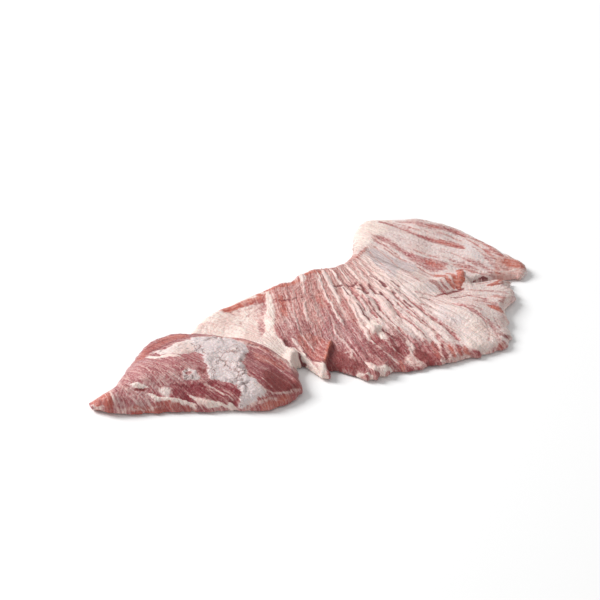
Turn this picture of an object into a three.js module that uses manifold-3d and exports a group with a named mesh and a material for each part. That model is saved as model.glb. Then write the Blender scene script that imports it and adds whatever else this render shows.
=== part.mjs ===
// A whole raw secreto: the thin, fan-shaped muscle from inside an Iberian pork shoulder, laid out flat.
// It is one piece. A thick pointed lobe lies at one end, a bridge of white fat joins it to a wide
// striped fan, and the fan runs on into a far lobe that a torn cleft parts from it.
// Millimetres. X runs along the cut from the pointed tip to the far lobe, Y from the fringe to the
// root edge, Z up. The origin is on the table under the middle of the cut.

import * as THREE from "three";
import { mergeVertices } from "three/addons/utils/BufferGeometryUtils.js";
import Module from "manifold-3d";

// The ribs follow the muscle's fibres from the root edge to the fringe.
// Each row: root x y, middle x y, fringe x y, then the thickness at the root, middle and fringe.
const TIP_LOBE = [
  [-191, -9, -192, -14, -192, -18, 4, 5, 4],
  [-174, -8, -176, -20, -176, -31, 8, 11, 5],
  [-159, 5, -160, -18, -159, -39, 8, 15, 4],
  [-141, 21, -138, -18, -136, -49, 8, 18, 5],
  [-126, 31, -114, -21, -106, -64, 8, 20, 6],
  [-108, 34, -90, -27, -79, -79, 9, 20, 7],
  [-100, 30, -72, -24, -54, -77, 9, 18, 8],
  [-93, 25, -60, -13, -43, -59, 9, 14, 9],
];
const FAT_BRIDGE = [
  [-90, 30, -59, -11, -40, -53, 5, 9, 6],
  [-72, 43, -50, 2, -38, -48, 6, 8, 7],
  [-45, 49, -41, 3, -36, -45, 7, 8, 7],
  [-17, 54, -31, 0, -32, -45, 7, 9, 7],
];
const FAN = [
  [0, 56, -22, -6, -28, -52, 7, 9, 6],
  [11, 55, -13, -14, -18, -60, 7, 9, 6],
  [23, 58, 0, -16, -7, -71, 7, 9, 6],
  [37, 59, 14, -20, 4, -83, 7, 9, 6],
  [53, 55, 45, -27, 43, -91, 7, 9, 5],
  [69, 60, 77, -35, 84, -98, 7, 10, 5],
  [75, 64, 94, -38, 112, -101, 7, 11, 5],
  [79, 68, 105, -36, 125, -91, 7, 11, 6],
  [81, 71, 112, -29, 139, -68, 7, 10, 7],
  [83, 76, 115, -21, 163, -46, 8, 10, 6],
];
const FAR_LOBE = [
  [86, 80, 119, -9, 168, -31, 9, 10, 5],
  [91, 88, 128, 11, 178, -29, 12, 10, 5],
  [98, 94, 138, 28, 189, -24, 13, 11, 6],
  [108, 99, 154, 50, 191, -14, 10, 10, 6],
  [121, 98, 168, 66, 185, -1, 6, 7, 6],
];
const RIBS = [...TIP_LOBE, ...FAT_BRIDGE, ...FAN, ...FAR_LOBE];
const FIRST_BRIDGE_RIB = TIP_LOBE.length;
const FIRST_FAN_RIB = FIRST_BRIDGE_RIB + FAT_BRIDGE.length;
const FIRST_FAR_RIB = FIRST_FAN_RIB + FAN.length;

// Grid columns stand this far apart across the fibres: closest where the fan is striped.
const TIP_COLUMN = 4.6;
const BRIDGE_COLUMN = 4;
const FAN_COLUMN = 1.95;
const FAR_COLUMN = 3.1;
// Grid steps along each rib, with narrow ones near both ends, where the edge is rounded.
const RIB_STEPS = 26;
const EDGE_ROWS = 2;
const EDGE_ROW = 2.1;
const EDGE_COLUMN = 1.5;

// The edge: how far in from the outline it takes the meat to reach its full thickness.
const EDGE_RADIUS = 6;
const RIM_HEIGHT = 1.8;
const UNDER_RADIUS = 4;

// Soft waves in the slack muscle: longest wave, how much shorter each next one is, their height.
const WAVE_LENGTH = 74;
const WAVE_RATIO = 0.74;
const WAVE_HEIGHT = 0.85;
const WAVE_COUNT = 5;
const GOLDEN_ANGLE = 2.39996;

// Rounded strands of fat and muscle lie side by side along the fibres, with a crease between each
// two: how wide a strand is, and how high it stands at each rib.
const STRAND_WIDTH = 8.2;
const STRAND_HEIGHTS = [
  0, 0.5, 0.5, 0.5, 0.5, 0.4, 0.4, 0.3, // tip lobe
  0.2, 0.3, 0.4, 0.5, // fat bridge
  0.7, 0.7, 0.8, 1.5, 1.8, 1.8, 1.5, 1.2, 1.1, 1.0, // fan
  1.0, 1.1, 1.3, 1.2, 0.6, // far lobe
];
// The creases wander to each side by this share of a strand, with bends along and across the fibres.
const STRAND_SWAY = 0.22;
const BENDS_ALONG = 3.1;
const BENDS_ACROSS = 0.05;
const BENDS_SHIFT = 2.3;
// Strands differ in height by up to this share, and flatten out over this share of the rib at its ends.
const STRAND_VARIETY = 0.35;
const STRAND_FADE = 0.11;

// Slivers of torn fibre that stick out past the fringe: rib position, width in ribs, length.
// They draw out the last share of the rib.
const SLIVER_SHARE = 0.3;
const FRINGE_SLIVERS = [
  { rib: 12.25, width: 0.56, length: 14 }, // the hanging tail of fat
  { rib: 6.5, width: 0.25, length: 3 },
  { rib: 3.3, width: 0.5, length: 1.5 },
  { rib: 13.5, width: 0.3, length: -2 },
  { rib: 14.9, width: 0.35, length: 2.5 },
  { rib: 15.6, width: 0.12, length: -2 },
  { rib: 17.2, width: 0.1, length: 2 },
  { rib: 19.2, width: 0.2, length: 2 },
  { rib: 20.4, width: 0.25, length: -3 },
];

// Lumps: centre, half-sizes along and across, turn in degrees, height.
const LUMPS = [
  { at: [32, -41], half: [6.5, 5], turn: -60, height: 4.5 }, // knob of fat on the fan
  { at: [-38, -41], half: [8, 5.5], turn: 60, height: 6 }, // knob of fat beside the tip lobe
  { at: [104, 78], half: [20, 12], turn: 40, height: 3 }, // swollen fat at the far lobe's root
  { at: [112, -62], half: [22, 16], turn: -30, height: 2.4 }, // fat cushion near the far corner
  { at: [-150, -30], half: [16, 7], turn: -25, height: -2 }, // hollow behind the curled tip edge
];

// Places where the edge curls up off the table: centre, radius, lift.
const CURLS = [
  { at: [-185, -25], radius: 12, lift: 4 },
  { at: [-23, -66], radius: 9, lift: 2 },
  { at: [14, -86], radius: 11, lift: 2.5 },
  { at: [62, -94], radius: 14, lift: 1.5 },
  { at: [150, -60], radius: 14, lift: 3 },
  { at: [192, -20], radius: 14, lift: 2.5 },
  { at: [-46, -76], radius: 10, lift: 2 },
];

// The fold between the fan and the far lobe rises along its crest and stops dead at the cleft.
const FOLD_FROM = [80, -5];
const FOLD_TO = [134, -16.5];
const FOLD_HALF_WIDTH = 8.5;
const FOLD_HEIGHT = 6.5;
const FOLD_END = 1.6;

// A flap of surface muscle ends in a ledge above the corner of the fan.
const LEDGE_FROM = [-3, -39];
const LEDGE_TO = [-20, -61];
const LEDGE_REACH = 13;
const LEDGE_HEIGHT = 3;
const LEDGE_DROP = 1.2;
const LEDGE_ENDS = 4;

// The cleft between the fan's last finger and the far lobe, as a plan outline that opens at the right.
const CLEFT = [
  [134, -19.5],
  [147, -19],
  [160, -20.5],
  [176, -27],
  [190, -46],
  [170, -43],
  [160, -35.5],
  [172, -31.5],
  [158, -24],
  [146, -21.5],
];
const CLEFT_DEPTH = 60;

const LEAN = new THREE.Color("#b5716c");

// Slopes of a monotone cubic through values one unit apart, so that a sudden step never overshoots.
function monotoneSlopes(values) {
  const rises = values.slice(1).map((v, i) => v - values[i]);
  return values.map((_, i) => {
    const before = rises[i - 1];
    const after = rises[i];
    if (before === undefined) return after;
    if (after === undefined) return before;
    return before * after <= 0 ? 0 : (2 * before * after) / (before + after);
  });
}

function cubicAt(values, slopes, s) {
  const i = Math.min(Math.floor(s), values.length - 2);
  const u = s - i;
  const v = 1 - u;
  return (
    values[i] * (1 + 2 * u) * v * v +
    slopes[i] * u * v * v +
    values[i + 1] * u * u * (3 - 2 * u) -
    slopes[i + 1] * u * u * v
  );
}

const COLUMNS = RIBS[0].map((_, column) => {
  const values = RIBS.map((rib) => rib[column]);
  return { values, slopes: monotoneSlopes(values) };
});

function ribAt(s) {
  return COLUMNS.map(({ values, slopes }) => cubicAt(values, slopes, s));
}

// A parabola through three values at t = 0, 0.5 and 1.
const through = (a, b, c, t) => a * (1 - t) * (1 - 2 * t) + b * 4 * t * (1 - t) + c * t * (2 * t - 1);

// How far across the fibres each rib lies from the first, half way between its middle and its fringe.
const ACROSS = RIBS.map(() => 0);
RIBS.slice(1).forEach((rib, i) => {
  const before = RIBS[i];
  const middle = Math.hypot(rib[2] - before[2], rib[3] - before[3]);
  const fringe = Math.hypot(rib[4] - before[4], rib[5] - before[5]);
  ACROSS[i + 1] = ACROSS[i] + (middle + fringe) / 2;
});

function acrossAt(s) {
  const i = Math.min(Math.floor(s), ACROSS.length - 2);
  return ACROSS[i] + (ACROSS[i + 1] - ACROSS[i]) * (s - i);
}

const STRAND_SLOPES = monotoneSlopes(STRAND_HEIGHTS);

const bell = (x) => Math.exp(-x * x);

const smooth = (x) => {
  const u = Math.min(Math.max(x, 0), 1);
  return u * u * (3 - 2 * u);
};

function sliverLength(s) {
  const lengths = FRINGE_SLIVERS.map(({ rib, width, length }) => length * bell(((s - rib) / width) ** 2));
  return lengths.reduce((sum, length) => sum + length, 0);
}

// The plan place at s ribs along the cut and t of the way from root to fringe.
function planAt(s, t) {
  const [rootX, rootY, middleX, middleY, fringeX, fringeY] = ribAt(s);
  const x = through(rootX, middleX, fringeX, t);
  const y = through(rootY, middleY, fringeY, t);
  const alongX = 3 * fringeX - 4 * middleX + rootX;
  const alongY = 3 * fringeY - 4 * middleY + rootY;
  const drawn = smooth((t - 1 + SLIVER_SHARE) / SLIVER_SHARE);
  const reach = (sliverLength(s) * drawn) / Math.hypot(alongX, alongY);
  return [x + alongX * reach, y + alongY * reach];
}

// Sine waves in directions that never line up.
function waves(x, y) {
  let height = 0;
  for (let i = 0; i < WAVE_COUNT; i += 1) {
    const angle = GOLDEN_ANGLE * (i + 1);
    const shrink = WAVE_RATIO ** i;
    const across = x * Math.cos(angle) + y * Math.sin(angle);
    height += WAVE_HEIGHT * shrink * Math.sin((2 * Math.PI * across) / (WAVE_LENGTH * shrink) + i * i);
  }
  return height;
}

function lumps(x, y) {
  return LUMPS.reduce((sum, { at, half, turn, height }) => {
    const angle = THREE.MathUtils.degToRad(turn);
    const along = (x - at[0]) * Math.cos(angle) + (y - at[1]) * Math.sin(angle);
    const across = (y - at[1]) * Math.cos(angle) - (x - at[0]) * Math.sin(angle);
    return sum + height * bell(Math.hypot(along / half[0], across / half[1]) ** 1.5);
  }, 0);
}

// Where a place lies beside a straight line: the share along it, and the distance to its left.
function beside(from, to, x, y) {
  const dx = to[0] - from[0];
  const dy = to[1] - from[1];
  const length = Math.hypot(dx, dy);
  return {
    length,
    along: ((x - from[0]) * dx + (y - from[1]) * dy) / (length * length),
    left: ((y - from[1]) * dx - (x - from[0]) * dy) / length,
  };
}

function fold(x, y) {
  const { length, along, left } = beside(FOLD_FROM, FOLD_TO, x, y);
  const rise = smooth(along) * smooth(((1 - along) * length) / FOLD_END + 1);
  return FOLD_HEIGHT * rise * bell(left / FOLD_HALF_WIDTH);
}

// The flap's surface rises towards its end and drops there.
function ledge(x, y) {
  const { along, left } = beside(LEDGE_FROM, LEDGE_TO, x, y);
  const back = -left;
  const ends = smooth(along * LEDGE_ENDS + 1) * smooth((1 - along) * LEDGE_ENDS + 1);
  return LEDGE_HEIGHT * ends * smooth(back / LEDGE_DROP) * (1 - smooth(back / LEDGE_REACH));
}

// Rounded strands with sharp creases between them, part of their height below the smooth surface.
function strands(s, t, y) {
  const bends = Math.sin(BENDS_ALONG * t + s) + Math.sin(BENDS_ACROSS * y + BENDS_SHIFT * s);
  const place = acrossAt(s) / STRAND_WIDTH + STRAND_SWAY * bends;
  const strand = Math.floor(place);
  const inside = 2 * (place - strand) - 1;
  const size = 1 + STRAND_VARIETY * Math.sin(strand * GOLDEN_ANGLE);
  const fade = smooth(t / STRAND_FADE) * smooth((1 - t) / STRAND_FADE);
  const round = Math.sqrt(1 - inside * inside) - 0.5;
  return cubicAt(STRAND_HEIGHTS, STRAND_SLOPES, s) * size * fade * round;
}

// How far the edge lifts off the table.
function curl(x, y) {
  const lifts = CURLS.map(({ at, radius, lift }) => lift * bell(Math.hypot(x - at[0], y - at[1]) / radius));
  return lifts.reduce((sum, lift) => sum + lift, 0);
}

function distanceToSegment(x, y, [ax, ay], [bx, by]) {
  const dx = bx - ax;
  const dy = by - ay;
  const share = ((x - ax) * dx + (y - ay) * dy) / (dx * dx + dy * dy);
  const u = Math.min(Math.max(share, 0), 1);
  return Math.hypot(x - ax - dx * u, y - ay - dy * u);
}

const roundEdge = (distance, radius) => {
  const inside = 1 - Math.min(distance / radius, 1);
  return Math.sqrt(1 - inside * inside);
};

// The grid's positions along the cut, with two narrow columns at both ends.
function columnPositions() {
  const positions = [0];
  for (let rib = 1; rib < RIBS.length; rib += 1) {
    let column = FAR_COLUMN;
    if (rib < FIRST_FAR_RIB) column = FAN_COLUMN;
    if (rib < FIRST_FAN_RIB) column = BRIDGE_COLUMN;
    if (rib < FIRST_BRIDGE_RIB) column = TIP_COLUMN;
    const steps = rib === FIRST_BRIDGE_RIB ? 1 : Math.ceil((ACROSS[rib] - ACROSS[rib - 1]) / column);
    for (let step = 1; step <= steps; step += 1) positions.push(rib - 1 + step / steps);
  }
  const first = EDGE_COLUMN / (ACROSS[1] - ACROSS[0]);
  const last = EDGE_COLUMN / (ACROSS.at(-1) - ACROSS.at(-2));
  positions.splice(1, 0, first);
  positions.splice(positions.length - 1, 0, RIBS.length - 1 - last);
  return positions;
}

// The grid's shares along one rib of the given length, the same number on every rib.
function rowShares(length) {
  const row = Math.min(EDGE_ROW / length, 0.5 / RIB_STEPS);
  const shares = [];
  for (let j = 0; j <= RIB_STEPS; j += 1) {
    const fromEnd = Math.min(j, RIB_STEPS - j);
    let share = fromEnd * row;
    if (fromEnd > EDGE_ROWS) {
      const inner = (fromEnd - EDGE_ROWS) / (RIB_STEPS / 2 - EDGE_ROWS);
      share = EDGE_ROWS * row + (0.5 - EDGE_ROWS * row) * inner;
    }
    shares.push(j <= RIB_STEPS / 2 ? share : 1 - share);
  }
  return shares;
}

function planGrid() {
  return columnPositions().map((s) => {
    const [rootX, rootY, middleX, middleY, fringeX, fringeY] = ribAt(s);
    const upper = Math.hypot(rootX - middleX, rootY - middleY);
    const lower = Math.hypot(middleX - fringeX, middleY - fringeY);
    return rowShares(upper + lower).map((t) => ({ s, t, place: planAt(s, t) }));
  });
}

// Indices of a picture frame's closed ring of grid points, a number of rows in from the outline.
function ringOf(columns, rows, inset) {
  const ring = [];
  for (let i = inset; i < columns - inset; i += 1) ring.push([i, inset]);
  for (let j = inset + 1; j < rows - inset; j += 1) ring.push([columns - 1 - inset, j]);
  for (let i = columns - 2 - inset; i >= inset; i -= 1) ring.push([i, rows - 1 - inset]);
  for (let j = rows - 2 - inset; j > inset; j -= 1) ring.push([inset, j]);
  return ring;
}

function meatGeometry() {
  const grid = planGrid();
  const columns = grid.length;
  const rows = grid[0].length;
  const outline = ringOf(columns, rows, 0).map(([i, j]) => grid[i][j].place);
  const edges = outline.map((point, i) => [point, outline[(i + 1) % outline.length]]);
  CLEFT.forEach((point, i) => edges.push([point, CLEFT[(i + 1) % CLEFT.length]]));
  const toEdge = ([x, y]) => Math.min(...edges.map(([from, to]) => distanceToSegment(x, y, from, to)));

  const points = [];
  const faces = [];
  const quad = (a, b, c, d) => faces.push(a, b, c, a, c, d);

  grid.forEach((column) =>
    column.forEach((cell) => {
      const { s, t, place } = cell;
      const [x, y] = place;
      const [, , , , , , root, middle, fringe] = ribAt(s);
      const body = through(root, middle, fringe, t) + waves(x, y) + strands(s, t, y);
      const full = body + lumps(x, y) + fold(x, y) + ledge(x, y) + curl(x, y);
      cell.toEdge = toEdge(place);
      cell.rim = RIM_HEIGHT + curl(x, y);
      cell.top = points.length / 3;
      points.push(x, y, cell.rim + (full - cell.rim) * roundEdge(cell.toEdge, EDGE_RADIUS));
    }),
  );
  const rowsIn = (i, j) => Math.min(i, columns - 1 - i, j, rows - 1 - j);
  grid.forEach((column, i) =>
    column.forEach((cell, j) => {
      cell.under = cell.top;
      if (rowsIn(i, j) === 0 || rowsIn(i, j) > EDGE_ROWS) return;
      cell.under = points.length / 3;
      const lift = rowsIn(i, j) === EDGE_ROWS ? 0 : 1 - roundEdge(cell.toEdge, UNDER_RADIUS);
      points.push(...cell.place, cell.rim * lift);
    }),
  );

  for (let i = 0; i < columns - 1; i += 1) {
    for (let j = 0; j < rows - 1; j += 1) {
      const corners = [grid[i][j], grid[i + 1][j], grid[i + 1][j + 1], grid[i][j + 1]];
      quad(...corners.map((cell) => cell.top).reverse());
      const inBand = Math.min(rowsIn(i, j), rowsIn(i + 1, j + 1)) < EDGE_ROWS;
      if (inBand) quad(...corners.map((cell) => cell.under));
    }
  }
  const base = ringOf(columns, rows, EDGE_ROWS).map(([i, j]) => grid[i][j]);
  const flat = base.map(({ place }) => new THREE.Vector2(...place));
  THREE.ShapeUtils.triangulateShape(flat, []).forEach((face) => {
    faces.push(...face.map((corner) => base[corner].under).reverse());
  });
  return new THREE.BufferGeometry()
    .setAttribute("position", new THREE.Float32BufferAttribute(points, 3))
    .setIndex(faces);
}

function cleftGeometry() {
  const outline = new THREE.Shape(CLEFT.map(([x, y]) => new THREE.Vector2(x, y)));
  const wedge = new THREE.ExtrudeGeometry(outline, { depth: CLEFT_DEPTH, bevelEnabled: false });
  return wedge.translate(0, 0, -CLEFT_DEPTH / 2);
}

const wasm = await Module();
wasm.setup();

function solidOf(geometry) {
  const bare = geometry.clone();
  bare.deleteAttribute("normal");
  bare.deleteAttribute("uv");
  const merged = mergeVertices(bare, 1e-4);
  return new wasm.Manifold(
    new wasm.Mesh({
      numProp: 3,
      vertProperties: merged.attributes.position.array,
      triVerts: new Uint32Array(merged.index.array),
    }),
  );
}

function geometryOf(solid) {
  const { vertProperties, triVerts } = solid.getMesh();
  const geometry = new THREE.BufferGeometry()
    .setAttribute("position", new THREE.BufferAttribute(vertProperties, 3))
    .setIndex(new THREE.BufferAttribute(triVerts, 1));
  geometry.computeVertexNormals();
  return geometry;
}

const secreto = new THREE.Mesh(
  geometryOf(solidOf(meatGeometry()).subtract(solidOf(cleftGeometry()))),
  new THREE.MeshStandardMaterial({ color: LEAN, roughness: 0.45, metalness: 0 }),
);
secreto.name = "secreto";

const cut = new THREE.Group();
cut.add(secreto);

export default cut;
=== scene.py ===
"""A whole raw secreto laid flat: rose lean muscle with cream seams and patches of fat, on a pale floor."""

import logging
import math
from dataclasses import dataclass, field
from enum import Enum, IntEnum, auto

import bmesh
import bpy
import numpy as np
from mathutils import Matrix, Vector
from mathutils.bvhtree import BVHTree
from mathutils.kdtree import KDTree


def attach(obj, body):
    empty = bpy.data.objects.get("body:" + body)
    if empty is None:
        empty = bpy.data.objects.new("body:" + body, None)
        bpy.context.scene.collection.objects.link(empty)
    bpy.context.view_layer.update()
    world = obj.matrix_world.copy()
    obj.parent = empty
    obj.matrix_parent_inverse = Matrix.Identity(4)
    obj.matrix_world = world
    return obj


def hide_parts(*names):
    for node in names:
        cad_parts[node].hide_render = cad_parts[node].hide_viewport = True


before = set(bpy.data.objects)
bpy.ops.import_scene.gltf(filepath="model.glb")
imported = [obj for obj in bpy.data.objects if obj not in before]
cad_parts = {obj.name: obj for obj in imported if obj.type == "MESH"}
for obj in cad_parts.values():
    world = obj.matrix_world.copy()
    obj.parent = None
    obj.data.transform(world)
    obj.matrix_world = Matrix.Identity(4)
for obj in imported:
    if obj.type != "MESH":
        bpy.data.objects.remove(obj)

LOG = logging.getLogger("secreto")
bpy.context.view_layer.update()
NODE = "secreto"
MM = 0.001
FAR_AWAY = 1e9
COLUMN_PRIME = 374761393
ROW_PRIME = 668265263
SEED_PRIME = 974711
MIXING_PRIME = 1274126177
FIRST_SHIFT = 13
LAST_SHIFT = 16
LOW_WORD = 0xFFFFFFFF
LOW_HALF = 0xFFFF
Array = np.ndarray
Pair = tuple[float, float]
Line = tuple[Pair, ...]
Table = tuple[tuple[float, ...], ...]
WideLine = tuple[float | Pair, ...]
Socket = bpy.types.NodeSocket
MeshSketch = bmesh.types.BMesh


def smooth(x: Array) -> Array:
    """Goes softly from 0 at x = 0 to 1 at x = 1."""
    u = np.clip(x, 0.0, 1.0)
    return u * u * (3 - 2 * u)


def bell(x: Array) -> Array:
    """A round bump, 1 at x = 0."""
    return np.exp(-x * x)


def dome(x: Array) -> Array:
    """A half circle, 1 at x = 0 and 0 from x = 1 outwards."""
    return np.sqrt(np.clip(1 - x * x, 0.0, 1.0))


def through(a: Array, b: Array, c: Array, t: Array) -> Array:
    """A parabola through a, b and c at t = 0, 0.5 and 1."""
    return a * (1 - t) * (1 - 2 * t) + b * 4 * t * (1 - t) + c * t * (2 * t - 1)


@dataclass(frozen=True)
class PictureView:
    """The camera: the spot of the table in the picture's middle, its height, and the cut's turn."""

    middle: Pair = (9.5, 34.0)
    elevation: float = math.radians(35)
    turn: float = math.radians(29)
    distance: float = 1300.0
    lens: float = 97.5
    sensor: float = 36.0
    width: float = 600.0

    def axes(self) -> tuple[Vector, Vector, Vector]:
        """Works out the camera's own directions.

        Returns:
            Forward, right and up.
        """
        level = math.cos(self.elevation)
        ahead = Vector((math.sin(self.turn), math.cos(self.turn), 0.0))
        forward = level * ahead - Vector((0.0, 0.0, math.sin(self.elevation)))
        right = Vector((math.cos(self.turn), -math.sin(self.turn), 0.0))
        return forward, right, right.cross(forward)

    def eye(self) -> Vector:
        """Where the camera stands, in metres."""
        return (Vector((*self.middle, 0.0)) - self.distance * self.axes()[0]) * MM

    def land(self, surface: BVHTree, spot: Pair) -> Pair:
        """Follows the line of sight through a spot of the picture down to the meat or the table.

        Args:
            surface: The meat's solid, in metres.
            spot: Across and down in the picture.

        Returns:
            The place in the plan, in millimetres.
        """
        forward, right, up = self.axes()
        focal = self.lens / self.sensor * self.width
        across = (spot[0] - self.width / 2) / focal
        raised = (self.width / 2 - spot[1]) / focal
        sight = (forward + across * right + raised * up).normalized()
        hit = surface.ray_cast(self.eye(), sight)[0]
        if hit is None:
            hit = self.eye() - sight * (self.eye().z / sight.z)
        return hit.x / MM, hit.y / MM

    def build(self) -> bpy.types.Object:
        """Makes the camera.

        Returns:
            The camera object.
        """
        data = bpy.data.cameras.new("Picture camera")
        data.lens = self.lens
        data.sensor_width = self.sensor
        data.sensor_fit = "HORIZONTAL"
        camera = bpy.data.objects.new("Picture camera", data)
        forward, right, up = self.axes()
        turned = Matrix((right, up, -forward)).transposed().to_4x4()
        camera.matrix_world = Matrix.Translation(self.eye()) @ turned
        bpy.context.scene.collection.objects.link(camera)
        return camera


class Seed(IntEnum):
    """Each random pattern's own number."""

    FRINGE = 3
    ROOT = 4
    FAR_END = 6
    COARSE = 11
    FINE = 12
    WRINKLE = 13
    CRIMP = 14
    BEND_X = 21
    LUMP = 22
    FINE_LUMP = 23
    BEND_Y = 24
    TORN_FILM = 25
    SWELL = 26
    GROUND = 40
    FINGERS = 44
    MARK_EDGE = 60
    SWAY_X = 63
    SWAY_Y = 64
    WAIST = 70


@dataclass(frozen=True)
class Grain:
    """Smooth random patterns that come out the same on every run."""

    seed: int
    layer_step: int = 17
    row_step: int = 5
    scatter: float = 0.45

    def lattice(self, column: Array, row: Array) -> Array:
        """Gives each whole-number place its own value.

        Args:
            column: Whole numbers across.
            row: Whole numbers along.

        Returns:
            One value from -1 to 1 for each place.
        """
        mixed = (column * COLUMN_PRIME + row * ROW_PRIME + self.seed * SEED_PRIME) & LOW_WORD
        mixed = ((mixed ^ (mixed >> FIRST_SHIFT)) * MIXING_PRIME) & LOW_WORD
        return ((mixed ^ (mixed >> LAST_SHIFT)) & LOW_HALF) / (LOW_HALF / 2) - 1.0

    def soft(self, x: Array, y: Array) -> Array:
        """Blends the lattice's values smoothly.

        Args:
            x: Places across, one unit to a lattice step.
            y: Places along.

        Returns:
            Values from -1 to 1.
        """
        column = np.floor(x).astype(np.int64)
        row = np.floor(y).astype(np.int64)
        u = smooth(x - column)
        v = smooth(y - row)
        near = self.lattice(column, row) * (1 - u) + self.lattice(column + 1, row) * u
        far = self.lattice(column, row + 1) * (1 - u) + self.lattice(column + 1, row + 1) * u
        return near * (1 - v) + far * v

    def layered(self, x: Array, y: Array, layers: int = 2) -> Array:
        """Sums layers of the pattern, each twice as fine and half as strong.

        Args:
            x: Places across.
            y: Places along.
            layers: How many layers.

        Returns:
            Values from about -1 to 1.
        """
        total = np.zeros(np.broadcast(x, y).shape)
        for layer in range(layers):
            finer = Grain(self.seed + self.layer_step * layer)
            total += finer.soft(x * 2**layer, y * 2**layer) / 2**layer
        return total / (2 - 2 ** (1 - layers))

    def cells(self, x: Array, y: Array) -> tuple[Array, Array]:
        """Measures to the nearest two of a scatter of points, one in each unit square.

        Args:
            x: Places across.
            y: Places along.

        Returns:
            Distances in units to the nearest point and to the second.
        """
        column = np.floor(x).astype(np.int64)
        row = np.floor(y).astype(np.int64)
        nearest = np.full(x.shape, FAR_AWAY)
        second = np.full(x.shape, FAR_AWAY)
        for step_x in (-1, 0, 1):
            for step_y in (-1, 0, 1):
                c, r = column + step_x, row + step_y
                point_x = c + 0.5 + self.scatter * self.lattice(c, r)
                point_y = r + 0.5 + self.scatter * Grain(self.seed + self.row_step).lattice(c, r)
                distance = np.hypot(x - point_x, y - point_y)
                second = np.minimum(second, np.maximum(nearest, distance))
                nearest = np.minimum(nearest, distance)
        return nearest, second


class Tissue(Enum):
    """What the surface is made of, as shares of fat, grey film, deep red and orange-red, and last the
    painted shade that darkens it.
    """

    LEAN = (0.08, 0.0, 0.3, 0.1, 0.0)
    VEILED = (0.22, 0.7, 0.45, 0.0, 0.0)
    MAUVE = (0.5, 0.6, 0.15, 0.0, 0.0)
    BROWN = (0.0, 0.0, 0.3, 0.6, 0.0)
    WINE = (0.0, 0.0, 0.95, 0.0, 0.0)
    # Deep red lean with painted shade at nearly half strength.
    DARK = (0.0, 0.0, 1.0, 0.2, 0.45)
    # Deep red with full painted shade, for cracks, notches and gaps where shade falls.
    NOTCH_SHADE = (0.0, 0.0, 1.0, 0.1, 1.0)
    CUT = (0.0, 0.0, 0.35, 1.0, 0.0)
    RED = (0.0, 0.0, 0.85, 0.55, 0.0)
    CRIMSON = (0.0, 0.0, 0.65, 0.25, 0.0)
    CREAM = (1.0, 0.0, 0.0, 0.0, 0.0)
    SATIN = (1.0, 0.45, 0.0, 0.05, 0.0)
    SEAM = (0.88, 0.5, 0.1, 0.3, 0.0)
    ROSY = (0.55, 0.0, 0.1, 0.2, 0.0)
    PEACH = (0.55, 0.0, 0.0, 0.7, 0.0)
    FILM = (1.0, 1.0, 0.0, 0.0, 0.0)
    # Grey film, darkened a little towards the shade colour.
    DULL_FILM = (0.95, 1.0, 0.0, 0.0, 0.3)


class Zone(Enum):
    """The ground tissue of each part of the cut from the tip on, as the same shares."""

    LOBE = (0.05, 0.5, 0.36, 0.0, 0.0)
    BRIDGE = (0.97, 0.0, 0.28, 0.0, 0.0)
    FAN = (0.32, 0.0, 0.26, 0.3, 0.0)
    FATTY_FAN = (0.7, 0.45, 0.26, 0.15, 0.0)
    FAR_LOBE = (0.72, 0.65, 0.26, 0.05, 0.0)


class Channel(Enum):
    """The shares that tissues are made of, the last being painted shade, in their order, by the names that
    the piece stores them under.
    """

    FAT = "fat"
    GREY = "grey"
    DEEP = "deep"
    WARM = "warm"
    SHADE = "shade"


@dataclass(frozen=True)
class Mark:
    """A strip or blot of one tissue. Its spots are across and down in the picture, its sizes millimetres.

    A mark with a half width is a line, and one without is the area inside its spots. Torn is how far
    its border wanders, soft how wide the border fades, rise how far it swells out of the surface, and
    cover how fully it hides what lies below.
    """

    name: str
    tissue: Tissue
    spots: Line
    half: float = 0.0
    torn: float = 0.7
    soft: float = 0.9
    rise: float = 0.0
    cover: float = 1.0
    area_swell: float = 2.4
    line_swell: float = 1.3
    end_share: float = 0.12
    end_width: float = 0.45

    def measure(self, places: Array, x: Array, y: Array) -> tuple[Array, Array]:
        """Measures places of the plan against the mark.

        Args:
            places: The mark's spots, carried onto the plan.
            x: Places along the cut.
            y: Places across it.

        Returns:
            How far inside the mark each place is, and how high the mark swells there, from 0 to 1.
        """
        closed = self.half == 0
        starts = places if closed else places[:-1]
        stops = np.roll(places, -1, axis=0) if closed else places[1:]
        lengths = np.hypot(*(stops - starts).T)
        before = np.concatenate([[0.0], np.cumsum(lengths)])
        distance = np.full(x.shape, FAR_AWAY)
        share = np.zeros(x.shape)
        inside = np.zeros(x.shape, bool)
        for i, ((ax, ay), (bx, by)) in enumerate(zip(starts, stops)):
            dx, dy = bx - ax, by - ay
            u = np.clip(((x - ax) * dx + (y - ay) * dy) / lengths[i] ** 2, 0, 1)
            off = np.hypot(x - ax - dx * u, y - ay - dy * u)
            share = np.where(off < distance, (before[i] + u * lengths[i]) / before[-1], share)
            distance = np.minimum(distance, off)
            if dy:
                inside ^= ((ay > y) != (by > y)) & (x < ax + dx * (y - ay) / dy)
        if closed:
            depth = np.where(inside, distance, -distance)
            return depth, smooth(depth / self.area_swell)
        full = smooth(share / self.end_share) * smooth((1 - share) / self.end_share)
        half = self.half * (self.end_width + (1 - self.end_width) * full)
        return half - distance, dome(distance / (half * self.line_swell))


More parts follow.
